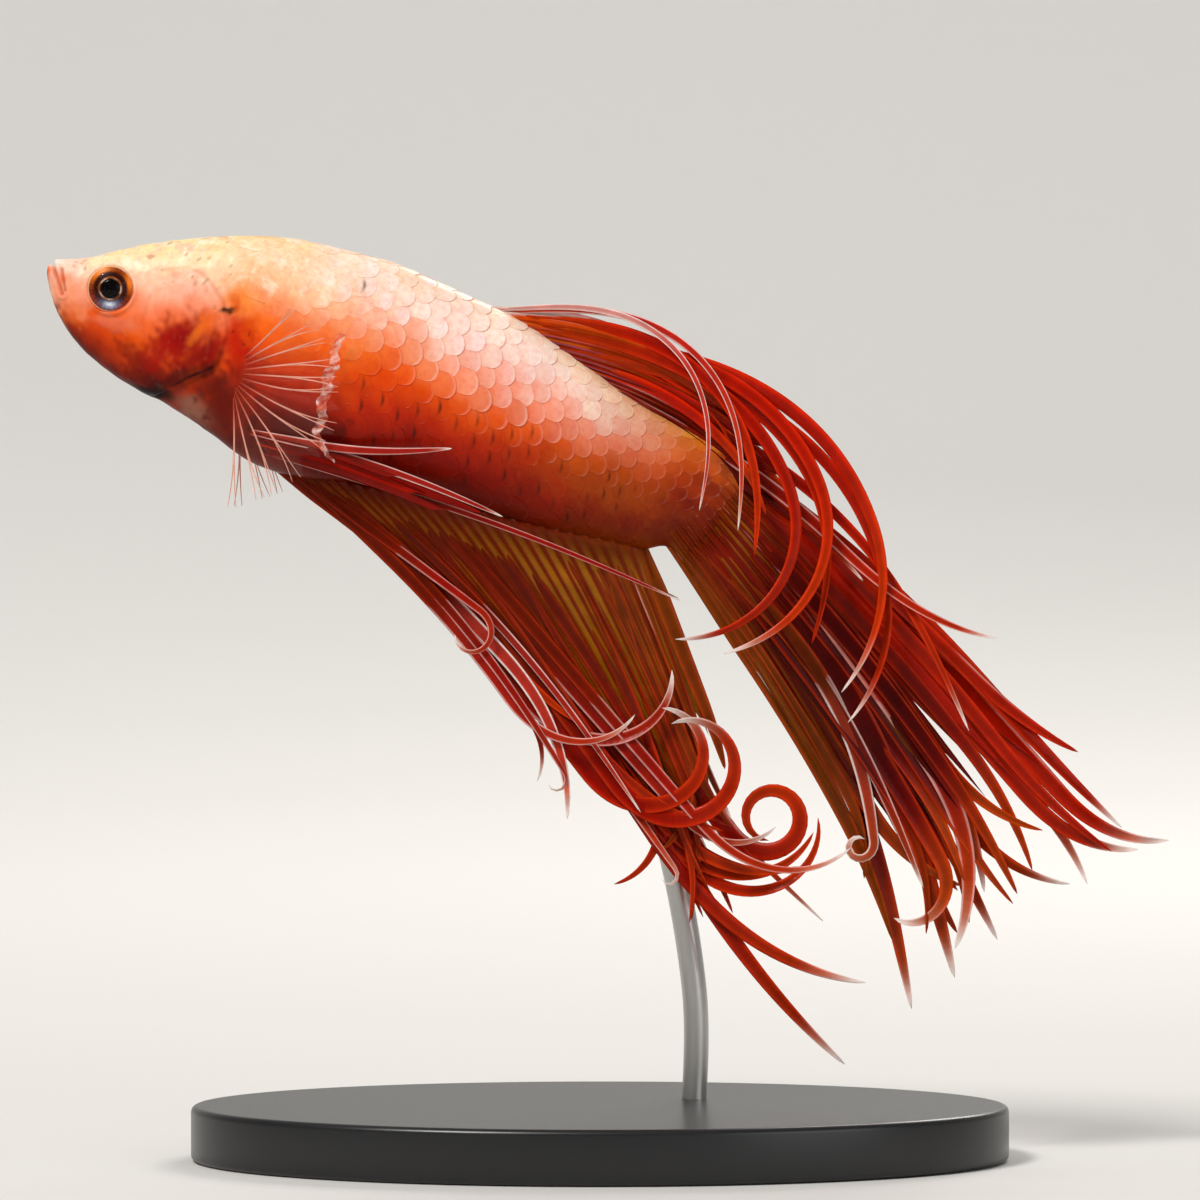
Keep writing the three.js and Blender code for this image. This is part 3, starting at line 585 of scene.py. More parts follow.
def unrolled(s, h):
    """u and theta of a place on the flank, s mm along and h mm up from mid side, read between
    the lines of the table; past the back or belly it carries on down the other side."""
    u = np.interp(s, arc_along, map_u)
    k = np.clip(u * MAP_RINGS, 0, MAP_RINGS - 0.001)
    m = np.clip((h + FLANK_SPAN) / (2 * FLANK_SPAN) * MAP_LEVELS, 0, MAP_LEVELS - 0.001)
    row, column = k.astype(int), m.astype(int)
    ahead, up = k - row, m - column
    here, there = (line[row, column] * (1 - up) + line[row, column + 1] * up
                   for line in (theta_at, theta_at[1:]))
    theta = here * (1 - ahead) + there * ahead
    half = spline(SECTIONS, u)[..., 4]
    over = np.clip(h - np.interp(u, map_u, arc_up[:, 0]), 0, None)
    under = np.clip(np.interp(u, map_u, arc_up[:, -1]) - h, 0, None)
    return u, theta + (under / (1 - BACK_HEAVY) - over / (1 + BACK_HEAVY)) / half


def scale_roots(rng):
    """Places of the scale roots on one flank, and their size: rings along the body, staggered
    and drawing in towards the tail, kept behind the gill cover and inside the outline."""
    order = np.arange(SCALE_RINGS)
    ring, number = np.meshgrid(order, np.arange(-SCALES_EACH_WAY, SCALES_EACH_WAY + 1), indexing="ij")
    size = (0.8 + 0.2 * smooth(order, 0, 6)) * (1 - 0.36 * smooth(order, 16, 34))
    reach = SCALE_START + running(RING_PITCH * size[:-1])
    s = reach[ring] + rng.normal(0, 0.05, ring.shape)
    h = (number + 0.5 * (ring % 2)) * SCALE_PITCH * size[ring] + rng.normal(0, 0.03, ring.shape)
    u, theta = unrolled(s, h)
    root = body_at(u, theta)
    x, z = root[..., 0], root[..., 2]
    inside = (h < np.interp(u, map_u, arc_up[:, 0]) + 0.1) & (h > np.interp(u, map_u, arc_up[:, -1]) - 0.1)
    behind = ((line_gap(x, z, gill_line) > 0.9) | (z > 55.9)) & (x > -23.2)
    off_lobe = oval(x, z, -22.6, 49.7, 0.7, 1.2) > 1
    keep = inside & behind & off_lobe & (s < arc_along[-1] - 1.6)
    return s[keep], h[keep], size[ring][keep]


def scale_tint(a, c, root_tint, root_share, s0, rng):
    """Colour of the scales' faces: the flesh at the root; on the upper ones a nacreous painted sheen
    growing towards the free edge, a painted highlight line just inside that edge and a pink edge;
    painted shade under the scales before; and black flecks on a few."""
    lower = root_share - 0.010 * np.clip(s0 - 20, 0, 14)
    to_tail = smooth(s0, 36, 27)
    crisp = smooth(s0, 16, 27) * smooth(lower, 0.52, 0.36) * (0.15 + 0.85 * to_tail)
    crisp = crisp * rng.uniform(0.55, 1.0, s0.shape)
    # share of the painted sheen: upper scales, fading towards the tail
    upper_sheen = smooth(s0, 11, 20) * smooth(lower, 0.42, 0.16) * to_tail * rng.uniform(0.4, 1.0, s0.shape)
    shade = bell(np.clip(a - 0.20 - 0.34 * np.abs(c) ** 1.5, 0, 1), 0.12)
    shine = smooth(a, 0.4, 0.87) * (1 - 0.6 * c**2)
    sheen_tint = blend("#fff4ea", "#f8e6ee", rng.random(s0.shape))
    tint = root_tint * rng.uniform(0.94, 1.05, s0.shape)[..., None]
    likely = 0.62 * smooth(root_share, 0.48, 0.6) * smooth(root_share, 0.92, 0.8) + 0.02
    fleck = (rng.random(s0.shape) < likely) * rng.uniform(0.6, 1.0, s0.shape)
    fleck = fleck * smooth(s0, 14, 18) * smooth(s0, 42, 36) * bell(c, 0.5)
    return layered(
        tint,
        # painted sheen, growing towards the free edge
        (sheen_tint, 0.6 * shine * upper_sheen),
        ("#c8583c", (0.03 + 0.25 * crisp) * shade),
        # painted highlight line just inside the free edge
        ("#ffeee4", 0.32 * crisp * (a == EDGE_STOP)),
        ("#d87458", 0.7 * crisp * (a == 1)),
        ("#1c0e06", 0.9 * fleck * (a == FLECK_STOP)),
    )


def grid_rim(corner):
    """Corner numbers once round the border of a grid of them, along its first row first."""
    return np.concatenate([corner[0], corner[1:, -1], corner[-1, -2::-1], corner[-2:0:-1, 0]])


def scale_coat(name, side, seed, material):
    """One flank's scales as a joined mesh. Each is a domed plate over a grid of along (0 root,
    1 free edge) and across (-1 to 1), half round at the rear, laid on the unrolled flank and
    rising from the skin to its free edge, with a wall down to one face beneath."""
    rng = np.random.default_rng(seed)
    s0, h0, size = (value[:, None, None] for value in scale_roots(rng))
    a, c = np.meshgrid(ALONG_STOPS, np.sin(ACROSS_STOPS), indexing="ij")
    rear = 1 - 0.9 * SCALE_WIDTH / 2 / SCALE_LENGTH * (1 - np.sqrt(1 - c**2))
    grown = size * rng.uniform(0.97, 1.04, s0.shape)
    u, theta = unrolled(s0 + grown * SCALE_LENGTH * a * rear,
                        h0 + grown * SCALE_WIDTH / 2 * c * (0.75 + 0.25 * smooth(a, 0, 0.4)))
    root_u, root_theta = unrolled(s0 + 0.7 * SCALE_LENGTH * size, h0)
    share, root_share = (1 - np.cos(theta)) / 2, (1 - np.cos(root_theta)) / 2
    stand = (0.04 + 0.96 * smooth(s0, 10, 22)) * (1 - 0.6 * smooth(root_share, 0.42, 0.62))
    stand = stand * (1 - 0.75 * smooth(s0, 34, 41)) * rng.uniform(0.85, 1.2, s0.shape)
    lift = stand * (SCALE_TILT * a + SCALE_DOME * (1 - c**2) * (1 - a**6))
    lift = lift - 0.28 * smooth(a, 0.33, 0) - SKIN_DEPTH + 0.012
    top, under = (body_at(u, theta, lift - drop) * [1, side, 1] for drop in (0, SCALE_EDGE))
    at_root = flesh(body_at(root_u, root_theta) * [1, side, 1], root_share)
    own = 0.1 + 0.5 * smooth(s0, 14, 25) * smooth(root_share, 0.55, 0.4)
    tint = scale_tint(a, c, blend(flesh(top, share), at_root, own), root_share, s0, rng)

    count, cells = len(s0), a.size
    rim = grid_rim(np.arange(cells).reshape(a.shape))
    lower = cells + np.arange(len(rim))
    wall = np.stack([rim, lower, np.roll(lower, -1), np.roll(rim, -1)], 1)
    plate = np.concatenate([grid_faces(*a.shape), wall])[:, ::side]
    shift = np.arange(count)[:, None, None] * (cells + len(rim))
    quads, beneath = (plate + shift).reshape(-1, 4), (lower[::-side] + shift).reshape(count, -1)
    top, under, tint = (grid.reshape(count, cells, 3) for grid in (top, under, tint))
    points = np.concatenate([top, under[:, rim]], 1).reshape(-1, 3)
    paint = np.concatenate([tint, tint[:, rim]], 1).reshape(-1, 3)

    place = np.stack([s0 / arc_along[-1], (h0 + FLANK_SPAN) / (2 * FLANK_SPAN)], -1)[:, 0] * 0.94 + 0.02
    spread = np.stack([a - 0.5, c / 2], -1).reshape(cells, 2)
    spread = PATCH * np.concatenate([spread, spread[rim]])
    on_map = (place + spread).reshape(-1, 2)
    below = (place + 0.2 * spread + [0.65 * PATCH, 0]).reshape(-1, 2)
    bake = np.concatenate([on_map[quads.ravel()], below[beneath.ravel()]])
    new_piece(name, points, [quads, beneath], material, paint, {"OFBake": bake})


scale_material, tree, output = new_material("pearly_scale")
# Cycloid scale: thin clear bone over silvery guanine, with fine growth rings; the soft nacreous
# sheen of the upper scales is painted highlight in their tint.
paint = add_node(tree, "Attribute", {"attribute_name": "tint"})
place = add_node(tree, "TexCoord").outputs["Object"]
relief = grained(tree, place, 4500.0, 3.0, 0.3, 0.00004)[1]
patchy = add_node(tree, "TexNoise", {"Scale": 2600.0, "Detail": 3.0, "Roughness": 0.65},
                  {"Vector": place})
blood = add_node(tree, "MapRange", {"From Min": 0.4, "From Max": 0.7, "To Max": 0.7},
                 {"Value": patchy})
colour = add_node(tree, "Mix", {"data_type": "RGBA", "blend_type": "MULTIPLY", 7: (0.94, 0.68, 0.62, 1)},
                  {0: blood, 6: paint})
gloss = add_node(tree, "MapRange", {"To Min": 0.24, "To Max": 0.44}, {"Value": patchy})
surface = add_node(tree, "BsdfPrincipled", {
    "IOR": 1.5, "Specular IOR Level": 0.09, "Coat Weight": 0.05, "Coat Roughness": 0.1,
}, {"Base Color": colour.outputs[2], "Roughness": gloss, "Normal": relief})
tree.links.new(surface.outputs[0], output.inputs[0])

scale_coat("scales_left", -1, 5, scale_material)
scale_coat("scales_right", 1, 6, scale_material)

# ---------- long fins
# A crowntail's dorsal, anal and tail fins: paired bony rays with a thin web between them that
# stops short, so the rays run on as long ribbons, grooved along the middle, red with paler edges,
# curling and paling at their tips. The groove is darkened as painted shade, and the edges are
# brightened partly as painted highlight. Each fin is a pleated web and its joined ribbons.

RAY_STEPS = 84
RAY_THICK = 0.24  # mm, at the raised edges
RAY_STOPS = np.array([1, 0.93, 0.8, 0.62, 0.25, -0.25, -0.62, -0.8, -0.93, -1])  # across a ribbon
RAY_STRAIGHT = 0.1  # share of a ray before its even bend
WEB_STEPS = 72
WEB_PER_RAY = 8  # grid columns from ray to ray
WEB_THIN = 0.09
WEB_RIDGE = 0.26
WEB_NOTCH = 0.16  # how far the web's margin draws back between rays
FLESH_END = 0.2  # share of the web's length over which its fleshy root thins out
FLESH_RISE = 1.2  # mm inside the body over which that root swells from nothing


def ray_curves(root, rows, drift=1.5, root_y=0.0, steps=RAY_STEPS):
    """Curves of the rays, mm, each found by adding up short steps along its heading. The
    heading turns by bend in an eased step, and by curl with the 1.3rd power of the share past
    its start; y leans with the share of the length to the power drift."""
    place, heading, length, bend, curl, curl_from, lean = np.array(rows, float).T[:7, :, None]
    s = np.linspace(0, 1, steps + 1)

    def turned(s):
        late = np.clip((s - curl_from) / (1 - curl_from), 0, 1)
        return np.radians(heading + bend * smooth(s, RAY_STRAIGHT, 1) + curl * late**1.3)

    way = turned((s[:-1] + s[1:])[None] / 2)
    x, z = (start + (end - start) * place + running(part) * length / steps
            for start, end, part in zip(*root, (np.cos(way), np.sin(way))))
    return np.stack([x, root_y + lean * s**drift, z], -1), turned(s[None]), s


def closed_tubes(tubes, steps, sides):
    """Faces of tubes given as points[tube, step, side]: their quads, and a face over each end."""
    first = np.arange(tubes)[:, None, None] * steps * sides
    quads, ends = grid_faces(steps, sides, wrap=True) + first, (first + np.arange(sides))[:, 0]
    return [quads.reshape(-1, 4), np.concatenate([ends, ends[:, ::-1] + (steps - 1) * sides])]


def ribbons(name, curves, width, pale, place, paint, material, rng, side=1, thick=RAY_THICK):
    """Joined ray ribbons along curves (points, headings and s). Across a ribbon runs w from -1
    to 1: it is thickest at its two raised edges, hollow between them, gutter-shaped, and twists
    a little along its length. Its width opens from the root, then draws in to a point."""
    centre, way, s = curves
    count, steps = centre.shape[:2]
    width = width[:, None] * (0.6 + 0.4 * smooth(s, 0, 0.3)) * (1 - 0.62 * s**2.4)
    width = (width * np.sqrt(1 - s**14) + 0.02)[..., None]
    w = np.concatenate([RAY_STOPS, RAY_STOPS[-2:0:-1]])
    face = np.repeat([1, -1], [len(RAY_STOPS), len(RAY_STOPS) - 2])
    body = thick * (1 - 0.6 * s[:, None]) * (0.42 + 0.58 * bell(np.abs(w) - 0.74, 0.2))
    twist = rng.normal(0, 0.35, (count, 1)) * s**1.5 + rng.normal(0, 0.12, (count, 1))
    gutter = rng.uniform(-0.16, 0.16, (count, 1, 1)) * width * (1 - w**2)
    gutter = gutter * smooth(s, 0.1, 0.5)[:, None]
    across, out = width / 2 * w, face * np.sqrt(1 - w**2) * body / 2 + gutter
    cos, sin = np.cos(twist)[..., None], np.sin(twist)[..., None]
    in_plane, off_plane = across * cos - out * sin, across * sin + out * cos
    sway = rng.normal(0, 0.10, (count, 1)) * np.sin(s * rng.uniform(3, 7, (count, 1))) * s
    x, y, z = np.moveaxis(centre, -1, 0)[..., None]
    y = side * (y + off_plane + sway[..., None])
    points = np.stack([x - np.sin(way)[..., None] * in_plane, y, z + np.cos(way)[..., None] * in_plane], -1)
    tint = paint(*np.broadcast_arrays(place[:, None, None], s[:, None], w, pale[:, None, None],
                                      rng.random((count, 1, 1))))
    faces = [f[:, ::side] for f in closed_tubes(count, steps, len(w))]
    run = running(np.linalg.norm(np.diff(centre, axis=1), axis=2))
    grain = np.stack(np.broadcast_arrays((w + 1) / 2, run[..., None]), -1).reshape(-1, 2)
    maps = {"grain": np.concatenate([grain[f.ravel()] for f in faces])}
    return new_piece(name, points.reshape(-1, 3), faces, material, tint.reshape(-1, 3), maps)


def fin_rays(name, root, rows, paint, material, rng, drift=1.5, root_y=0.0, side=1, thick=RAY_THICK):
    """The ribbons of one fin, from its table of rays."""
    rows = np.array(rows, float)
    curves = ray_curves(root, rows, drift, root_y)
    return ribbons(name, curves, rows[:, 7], rows[:, 8], rows[:, 0], paint, material, rng, side, thick)


def web(name, root, rays, shape, paint, material, pleat, fleshy=0.0, drift=1.5, root_y=0.0, side=1,
        level=None, fade=4.6, notch=WEB_NOTCH):
    """The web as a closed sheet over t (0 to 1 along the root) and s (0 to 1 outward): fleshy
    where it leaves the body, thicker at each ray, pleated from ray to ray, and its margin drawn
    back between them. shape gives heading, length, bend and lean for each t. Where level gives
    how far down the side the fin is rooted, the colour of the flesh there runs fade mm into it."""
    t = np.linspace(0, 1, (rays - 1) * WEB_PER_RAY + 1)
    phase = t * (rays - 1)
    off_ray = np.abs(phase - np.round(phase)) * 2
    heading, length, bend, lean = shape(t)
    length = length * (1 - notch * off_ray**0.7)
    rows = np.stack(np.broadcast_arrays(t, heading, length, bend, 0.0, 0.6, lean), 1)
    centre, _, s = ray_curves(root, rows, drift, root_y, WEB_STEPS)
    t, phase, off_ray, length, s = np.broadcast_arrays(
        t[:, None], phase[:, None], off_ray[:, None], length[:, None], s[None])
    ridge = bell(off_ray, 0.34)
    half = (WEB_THIN + WEB_RIDGE * ridge * (1 - 0.5 * s)) / 2 * (1 - 0.6 * s**6)
    swell = smooth(s * length, 0, FLESH_RISE) * smooth(s, FLESH_END, 0)
    half = half + fleshy * np.sqrt(1 - (2 * t - 1) ** 6) * swell
    fold = pleat * np.cos(np.pi * phase) * smooth(s, 0.05, 0.6)
    fold = fold + 0.5 * pleat * ripple(np.stack([phase * 0.4, 3 * s], -1), 2.2, 51)
    fold = fold * smooth(s, 0.0, 0.3)
    corner = np.arange(t.size).reshape(t.shape)
    rim = grid_rim(corner.T)
    wall = np.stack([rim, np.roll(rim, -1), np.roll(rim, -1) + t.size, rim + t.size], 1)
    sheet = grid_faces(*t.shape)
    faces = np.concatenate([sheet[:, ::-1], sheet + t.size, wall[:, ::-1]])[:, ::side]
    offset = np.stack([fold - half, fold + half])[..., None] * [0, 1, 0]
    points = ((centre + offset) * [1, side, 1]).reshape(-1, 3)
    tint = paint(t, s, off_ray)
    if level is not None:
        tint = blend(tint, flesh(centre, level(t)), smooth(s * length + 0.6 * ridge, fade, 0.2))
    grain = np.stack([t * 10, s * length], -1)
    tint, grain = (np.concatenate([each.reshape(t.size, -1)] * 2) for each in (tint, grain))
    return new_piece(name, points, [faces], material, tint, {"grain": grain[faces.ravel()]})


def fringe(rays, shape, rng, width, longer, pale=0.0, fall=0.0, span=1.0):
    """Rows for the ribbons that carry each ray of the web on past its margin, longer times the
    web's own length, bending fall degrees more, with a slight turn and lean of their own; span
    is the share of the root that they stand on."""
    t = np.linspace(0, span, rays)
    heading, length, bend, lean = shape(t)
    grown = length * rng.uniform(*longer, rays)
    return np.stack(np.broadcast_arrays(
        t, heading + rng.normal(0, 1.0, rays), grown, bend + fall + rng.normal(0, 5, rays),
        rng.normal(0, 26, rays), 0.7, lean + rng.normal(0, 0.5, rays),
        width * rng.uniform(0.8, 1.15, rays), pale), 1)


def ribbon_tint(base, s, w, pale, luck, pale_from=0.0):
    """From the base colour: painted shade in the groove, brighter orange raised edges that are partly
    painted highlight, a white painted glint along part of one edge of some, pinker all over and
    whiter edges as painted highlight from pale_from on by the ray's paleness, and a whitish tip,
    which a paleness under 0 turns off."""
    groove, line = np.abs(w) < 0.3, (np.abs(w) > 0.78) & (np.abs(w) < 0.95)
    other = (luck * 7.31) % 1
    begin = 0.15 + 0.5 * other
    glint = line * (w * np.where(other > 0.5, 1, -1) > 0) * (luck > 0.75)
    glint = glint * smooth(s, begin, begin + 0.06) * smooth(s, begin + 0.25, begin + 0.12)
    white = np.clip(pale, 0, 1) * smooth(s, pale_from, pale_from + 0.12)
    tip = smooth(s, 0.92 - 0.06 * luck, 0.99) * (pale >= 0)
    return layered(
        # the groove is darkened as painted shade
        base * ((0.86 + 0.3 * luck) * (1 - 0.3 * groove))[..., None],
        # raised edges brightened, partly their own orange and partly painted highlight
        ("#fc4810", 0.26 * line * smooth(s, 0.1, 0.4)),
        ("#f8b8ac", 0.55 * glint),
        ("#ec5040", 0.4 * white),
        # whiter edges of the pale rays: painted highlight
        ("#fff2ec", np.clip(0.25 + white, 0, 0.95) * line * (white > 0.02)),
        ("#f0a484", 0.65 * tip),
        ("#fdf2ec", tip * np.maximum(0.9 * line, smooth(s, 0.93, 1.0))),
    )


fin_material, tree, output = new_material("fin_tissue")
# Fin: wet translucent skin over bony rays that are jointed every 0.4 mm; light comes through.
paint = add_node(tree, "Attribute", {"attribute_name": "tint"})
place = add_node(tree, "TexCoord").outputs["Object"]
grain = add_node(tree, "UVMap", {"uv_map": "grain"})
blotch = add_node(tree, "TexNoise", {"Scale": 900.0, "Detail": 4.0}, {"Vector": place})
shade = add_node(tree, "MapRange", {"From Min": 0.3, "From Max": 0.7, "To Min": 0.84, "To Max": 1.12},
                 {"Value": blotch})
colour = add_node(tree, "VectorMath", {"operation": "SCALE"},
                  {0: paint, "Scale": shade})
joints = add_node(tree, "TexWave", {"bands_direction": "Y", "Scale": 0.785, "Distortion": 1.5},
                  {"Vector": grain})
relief = add_node(tree, "Bump", {"Strength": 0.15, "Distance": 0.00006}, {"Height": joints})
surface = add_node(tree, "BsdfPrincipled", {
    "Roughness": 0.3, "IOR": 1.42, "Specular IOR Level": 0.09, "Coat Weight": 0.06, "Coat Roughness": 0.08,
}, {"Base Color": colour, "Normal": relief})
through = add_node(tree, "BsdfTranslucent", {}, {"Color": colour})
both = add_node(tree, "MixShader", {0: 0.22}, {1: surface, 2: through})
tree.links.new(both.outputs[0], output.inputs[0])

# Dorsal fin: a short web whose rays run on as long ribbons drooping over the tail, the first
# whitish, set by a table for the long ones and a fringe of plain ones between them.
# A ray: place, heading, length, bend, curl, where the curl begins, lean, width, paleness.
DORSAL_ROOT = [[-7.0, 54.0], [0.8, 48.8]]
DORSAL_RAYS = [
    [0.00, 3, 23.2, -105, 0, 0.6, -3.2, 0.42, 1.0],
    [0.02, 2, 25.5, -98, 0, 0.6, -2.9, 0.50, 0.5],
    [0.10, -12, 36.4, -97, -72, 0.6, -4.0, 0.95, 0.0],
    [0.22, -8, 36.8, -98, -60, 0.6, -3.6, 0.95, 0.0],
    [0.32, -7, 37.8, -86, -36, 0.7, -3.0, 1.05, 0.0],
    [0.48, -11, 37.4, -84, -36, 0.75, -2.4, 0.85, 0.0],
    [0.70, -23, 35.2, -44, 0, 0.6, -2.4, 0.75, 0.0],
    [0.82, -29, 30.8, -26, 46, 0.6, -2.9, 0.85, 0.1],
    [1.00, -28, 20.0, -20, 0, 0.6, -1.4, 0.9, 0.0],
    [0.08, -5, 26.0, -82, -10, 0.6, -3.0, 0.9, -1],
    [0.38, -9, 31.0, -80, -20, 0.6, -2.4, 0.8, -1],
]


def dorsal_shape(t):
    """Heading, length, bend and lean of the web's line at t."""
    return -5 - 23 * t, 14.5 + 3.5 * np.sin(np.pi * t) - 2.5 * t, -22.0, -0.5


def dorsal_web_tint(t, s, off_ray):
    """Orange above, deep maroon next to the back, with fine bright and dark stripes, and a
    purplish shine on the rays at the base."""
    stripe = 0.5 + 0.5 * np.cos(t * 60 + 1.3 * np.cos(t * 23))
    return layered(
        "#d84a04",
        ("#8c0e02", smooth(t, 0.05, 0.5) * 0.8 + 0.35 * stripe),
        ("#540400", smooth(t, 0.35, 0.85) * smooth(s, 0.0, 0.4) * 0.85),
        ("#f07818", 0.55 * smooth(stripe, 0.8, 1.0) * smooth(s, 0.9, 0.2)),
        ("#c080a0", 0.42 * bell(off_ray, 0.3) * smooth(s, 0.4, 0.1) * smooth(t, 0.1, 0.3)),
        ("#f4d4cc", smooth(t, 0.04, 0.015)),
    )


def dorsal_ray_tint(t, s, w, pale, luck):
    """Orange to bright red along the ribbon, darker for the rays by the back."""
    base = layered(
        "#cc3e04",
        ("#cc1a02", smooth(s, 0.0, 0.4)),
        ("#dc4008", smooth(s, 0.5, 0.9) * (0.3 + 0.7 * luck)),
        ("#6a0400", smooth(t, 0.5, 0.95) * smooth(s, 0.7, 0.4) * 0.8),
        ("#fbdcd2", 0.85 * smooth(t, 0.01, 0.005) * smooth(s, 0.62, 0.35)),
    )
    return ribbon_tint(base, s, w, pale, luck)


rng = np.random.default_rng(12)
dorsal_web = web("dorsal_fin_web", DORSAL_ROOT, 13, dorsal_shape, dorsal_web_tint, fin_material, 0.24, 0.5,
                 level=lambda t: 0.12 * t, fade=1.5)
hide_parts("dorsal_fin")
dorsal_fringe = fringe(10, dorsal_shape, rng, 0.8, (1.02, 1.2), pale=-1, fall=-15, span=0.75)
dorsal_rays = np.concatenate([DORSAL_RAYS, dorsal_fringe])
dorsal_ribbons = fin_rays("dorsal_fin_rays", DORSAL_ROOT, dorsal_rays, dorsal_ray_tint, fin_material, rng)

# Anal fin: 27 rays along half the belly, olive gold webs between dark red rays, a bundle of
# folded pale rays at the front, and hooked and curled ribbons at its lower end.
ANAL_ROOT = [[-21.4, 44.8], [2.4, 39.65]]
ANAL_RAYS = [
    [0.03, -36.5, 21.5, 0, -235, 0.75, -1.6, 0.7, 0.1],
    [0.05, -42, 30.5, -18, 116, 0.68, -2.2, 0.85, 0.3],
    [0.07, -43.5, 26.6, -10, -60, 0.82, 0.9, 0.7, 0.0],
    [0.10, -41.5, 29.2, -10, -42, 0.6, -1.6, 1.1, 0.9],
    [0.12, -44, 27.6, -15, -190, 0.92, -2.2, 0.7, 0.15],
    [0.15, -48, 32.4, 0, 143, 0.62, -1.2, 1.3, 0.1],
    [0.20, -42, 29.0, -14, 0, 0.6, -1.9, 0.6, 0.4],
    [0.24, -47, 33.0, -6, 40, 0.66, -1.2, 1.1, -1],
    [0.28, -53, 37.4, 0, 228, 0.62, -1.6, 1.5, 0.0],
    [0.30, -47, 35.0, -10, -10, 0.6, 0.8, 0.9, -1],
    [0.33, -52, 32.5, -3, -200, 0.94, -1.0, 0.8, 0.15],
    [0.35, -49, 34.6, 0, 95, 0.8, -1.3, 1.0, 0.1],
    [0.36, -52, 37.0, 0, 70, 0.7, -0.4, 1.3, -1],
    [0.38, -54.5, 39.0, 0, 258, 0.59, -2.0, 1.6, 0.0],
    [0.40, -49.3, 38.8, 0, 92, 0.72, -1.8, 0.9, 0.1],
    [0.43, -55, 38.0, 0, 120, 0.68, 0.2, 1.3, -1],
    [0.45, -57, 43.0, 0, 50, 0.6, 0.4, 1.4, 0.0],
    [0.55, -59.5, 43.4, 0, 18, 0.6, 0.9, 1.4, 0.0],
    [0.58, -53, 40.2, 0, 410, 0.65, 1.2, 1.6, -1],
    [0.60, -61, 37.8, 0, 161, 0.64, 0.4, 1.2, -1],
    [0.70, -63, 32.5, 20, 0, 0.6, 1.2, 0.7, 0.0],
    [0.80, -70, 22.0, 5, 0, 0.6, 0.6, 0.8, -1],
    [0.90, -76, 20.0, 10, 0, 0.6, 0.2, 0.8, -1],
    [1.00, -78, 19.0, 14, 0, 0.6, 0.4, 0.7, 0.2],
]


def anal_shape(t):
    """Heading, length, bend and lean of the web's line at t."""
    return -36 - 33 * t**0.8, 13.5 + 15.5 * np.sin(np.pi * t**0.9), -3.0, 0.0


def anal_web_tint(t, s, off_ray):
    """Amber brown webs between dark red rays; dark red takes over outward and to the front."""
    amber = layered(
        "#a05006",
        ("#a8680c", smooth(t, 0.2, 0.9)),
        ("#842c06", smooth(s, 0.6, 1.0) * smooth(t, 0.95, 0.5)),
        ("#580300", smooth(t, 0.32, 0.12) * smooth(s, 0.15, 0.4)),
    )
    ray = blend("#7c1a02", "#8c1402", smooth(s, 0.2, 0.8))
    return layered(amber, (ray, np.exp(-((off_ray / 0.44) ** 4))), ("#842402", 0.7 * smooth(s, 0.14, 0.02)))


def anal_ray_tint(t, s, w, pale, luck):
    """Dark red at the root, bright red past the web, olive brown towards the rear rays."""
    base = layered(
        "#7c1c04",
        ("#b40e02", smooth(s, 0.35, 0.7)),
        ("#d03c08", smooth(s, 0.6, 0.95) * (0.4 + 0.6 * luck)),
        ("#8c4008", smooth(t, 0.62, 1.0) * 0.8),
    )
    return ribbon_tint(base, s, w, pale, luck, 0.42)


rng = np.random.default_rng(23)
anal_web = web("anal_fin_web", ANAL_ROOT, 27, anal_shape, anal_web_tint, fin_material, 0.26, 0.85,
               level=lambda t: 0.97 + 0 * t)
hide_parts("anal_fin")
anal_rays = np.concatenate([ANAL_RAYS, fringe(20, anal_shape, rng, 0.95, (1.02, 1.22), pale=-1)])
anal_ribbons = fin_rays("anal_fin_rays", ANAL_ROOT, anal_rays, anal_ray_tint, fin_material, rng)

# Tail fin: 15 rays from the end of the body, deep maroon with olive stripes, orange red above,
# ending in a tangle of thin orange ribbons.
CAUDAL_ROOT = [[8.8, 44.4], [4.4, 39.4]]
CAUDAL_HEEL = [[7.6, 45.0], [3.6, 40.4]]  # the web begins further in
CAUDAL_RAYS = [
    [0.00, -40, 33.8, -12, 10, 0.6, 0.9, 1.4, 0.0],
    [0.05, -43.6, 37.3, -5, 55, 0.78, 1.4, 1.6, 0.0],
    [0.10, -46.3, 36.2, -5, 55, 0.76, 0.5, 1.5, 0.0],
    [0.15, -45, 35.0, -5, -18, 0.8, 1.9, 1.2, 0.0],
    [0.20, -53, 34.8, -5, -55, 0.62, -0.2, 1.7, 0.1],
    [0.25, -53, 34.7, -5, 52, 0.72, 1.2, 1.5, 0.0],
    [0.30, -48, 31.5, -10, -25, 0.6, 0.6, 1.3, 0.0],
    [0.38, -53, 34.0, -10, 0, 0.6, 1.6, 1.4, 0.0],
    [0.50, -51, 34.7, -25, 0, 0.6, 0.1, 1.7, 0.0],
    [0.60, -52, 33.6, -10, -150, 0.8, -0.5, 1.6, 0.0],
    [0.68, -50, 28.0, -18, 0, 0.6, -0.7, 1.0, 0.2],
    [0.75, -54, 34.7, -25, 0, 0.6, 0.9, 1.5, 0.0],
    [0.85, -42, 28.2, -45, -310, 0.85, -0.7, 1.2, 0.6],
    [1.00, -54, 20.8, -5, 0, 0.6, 0.2, 0.8, 0.3],
]


def caudal_shape(t):
    """Heading, length, bend and lean of the web's line at t."""
    return -41 - 14 * t**0.6, 28.5 - 4.5 * t, -7.0, 0.3


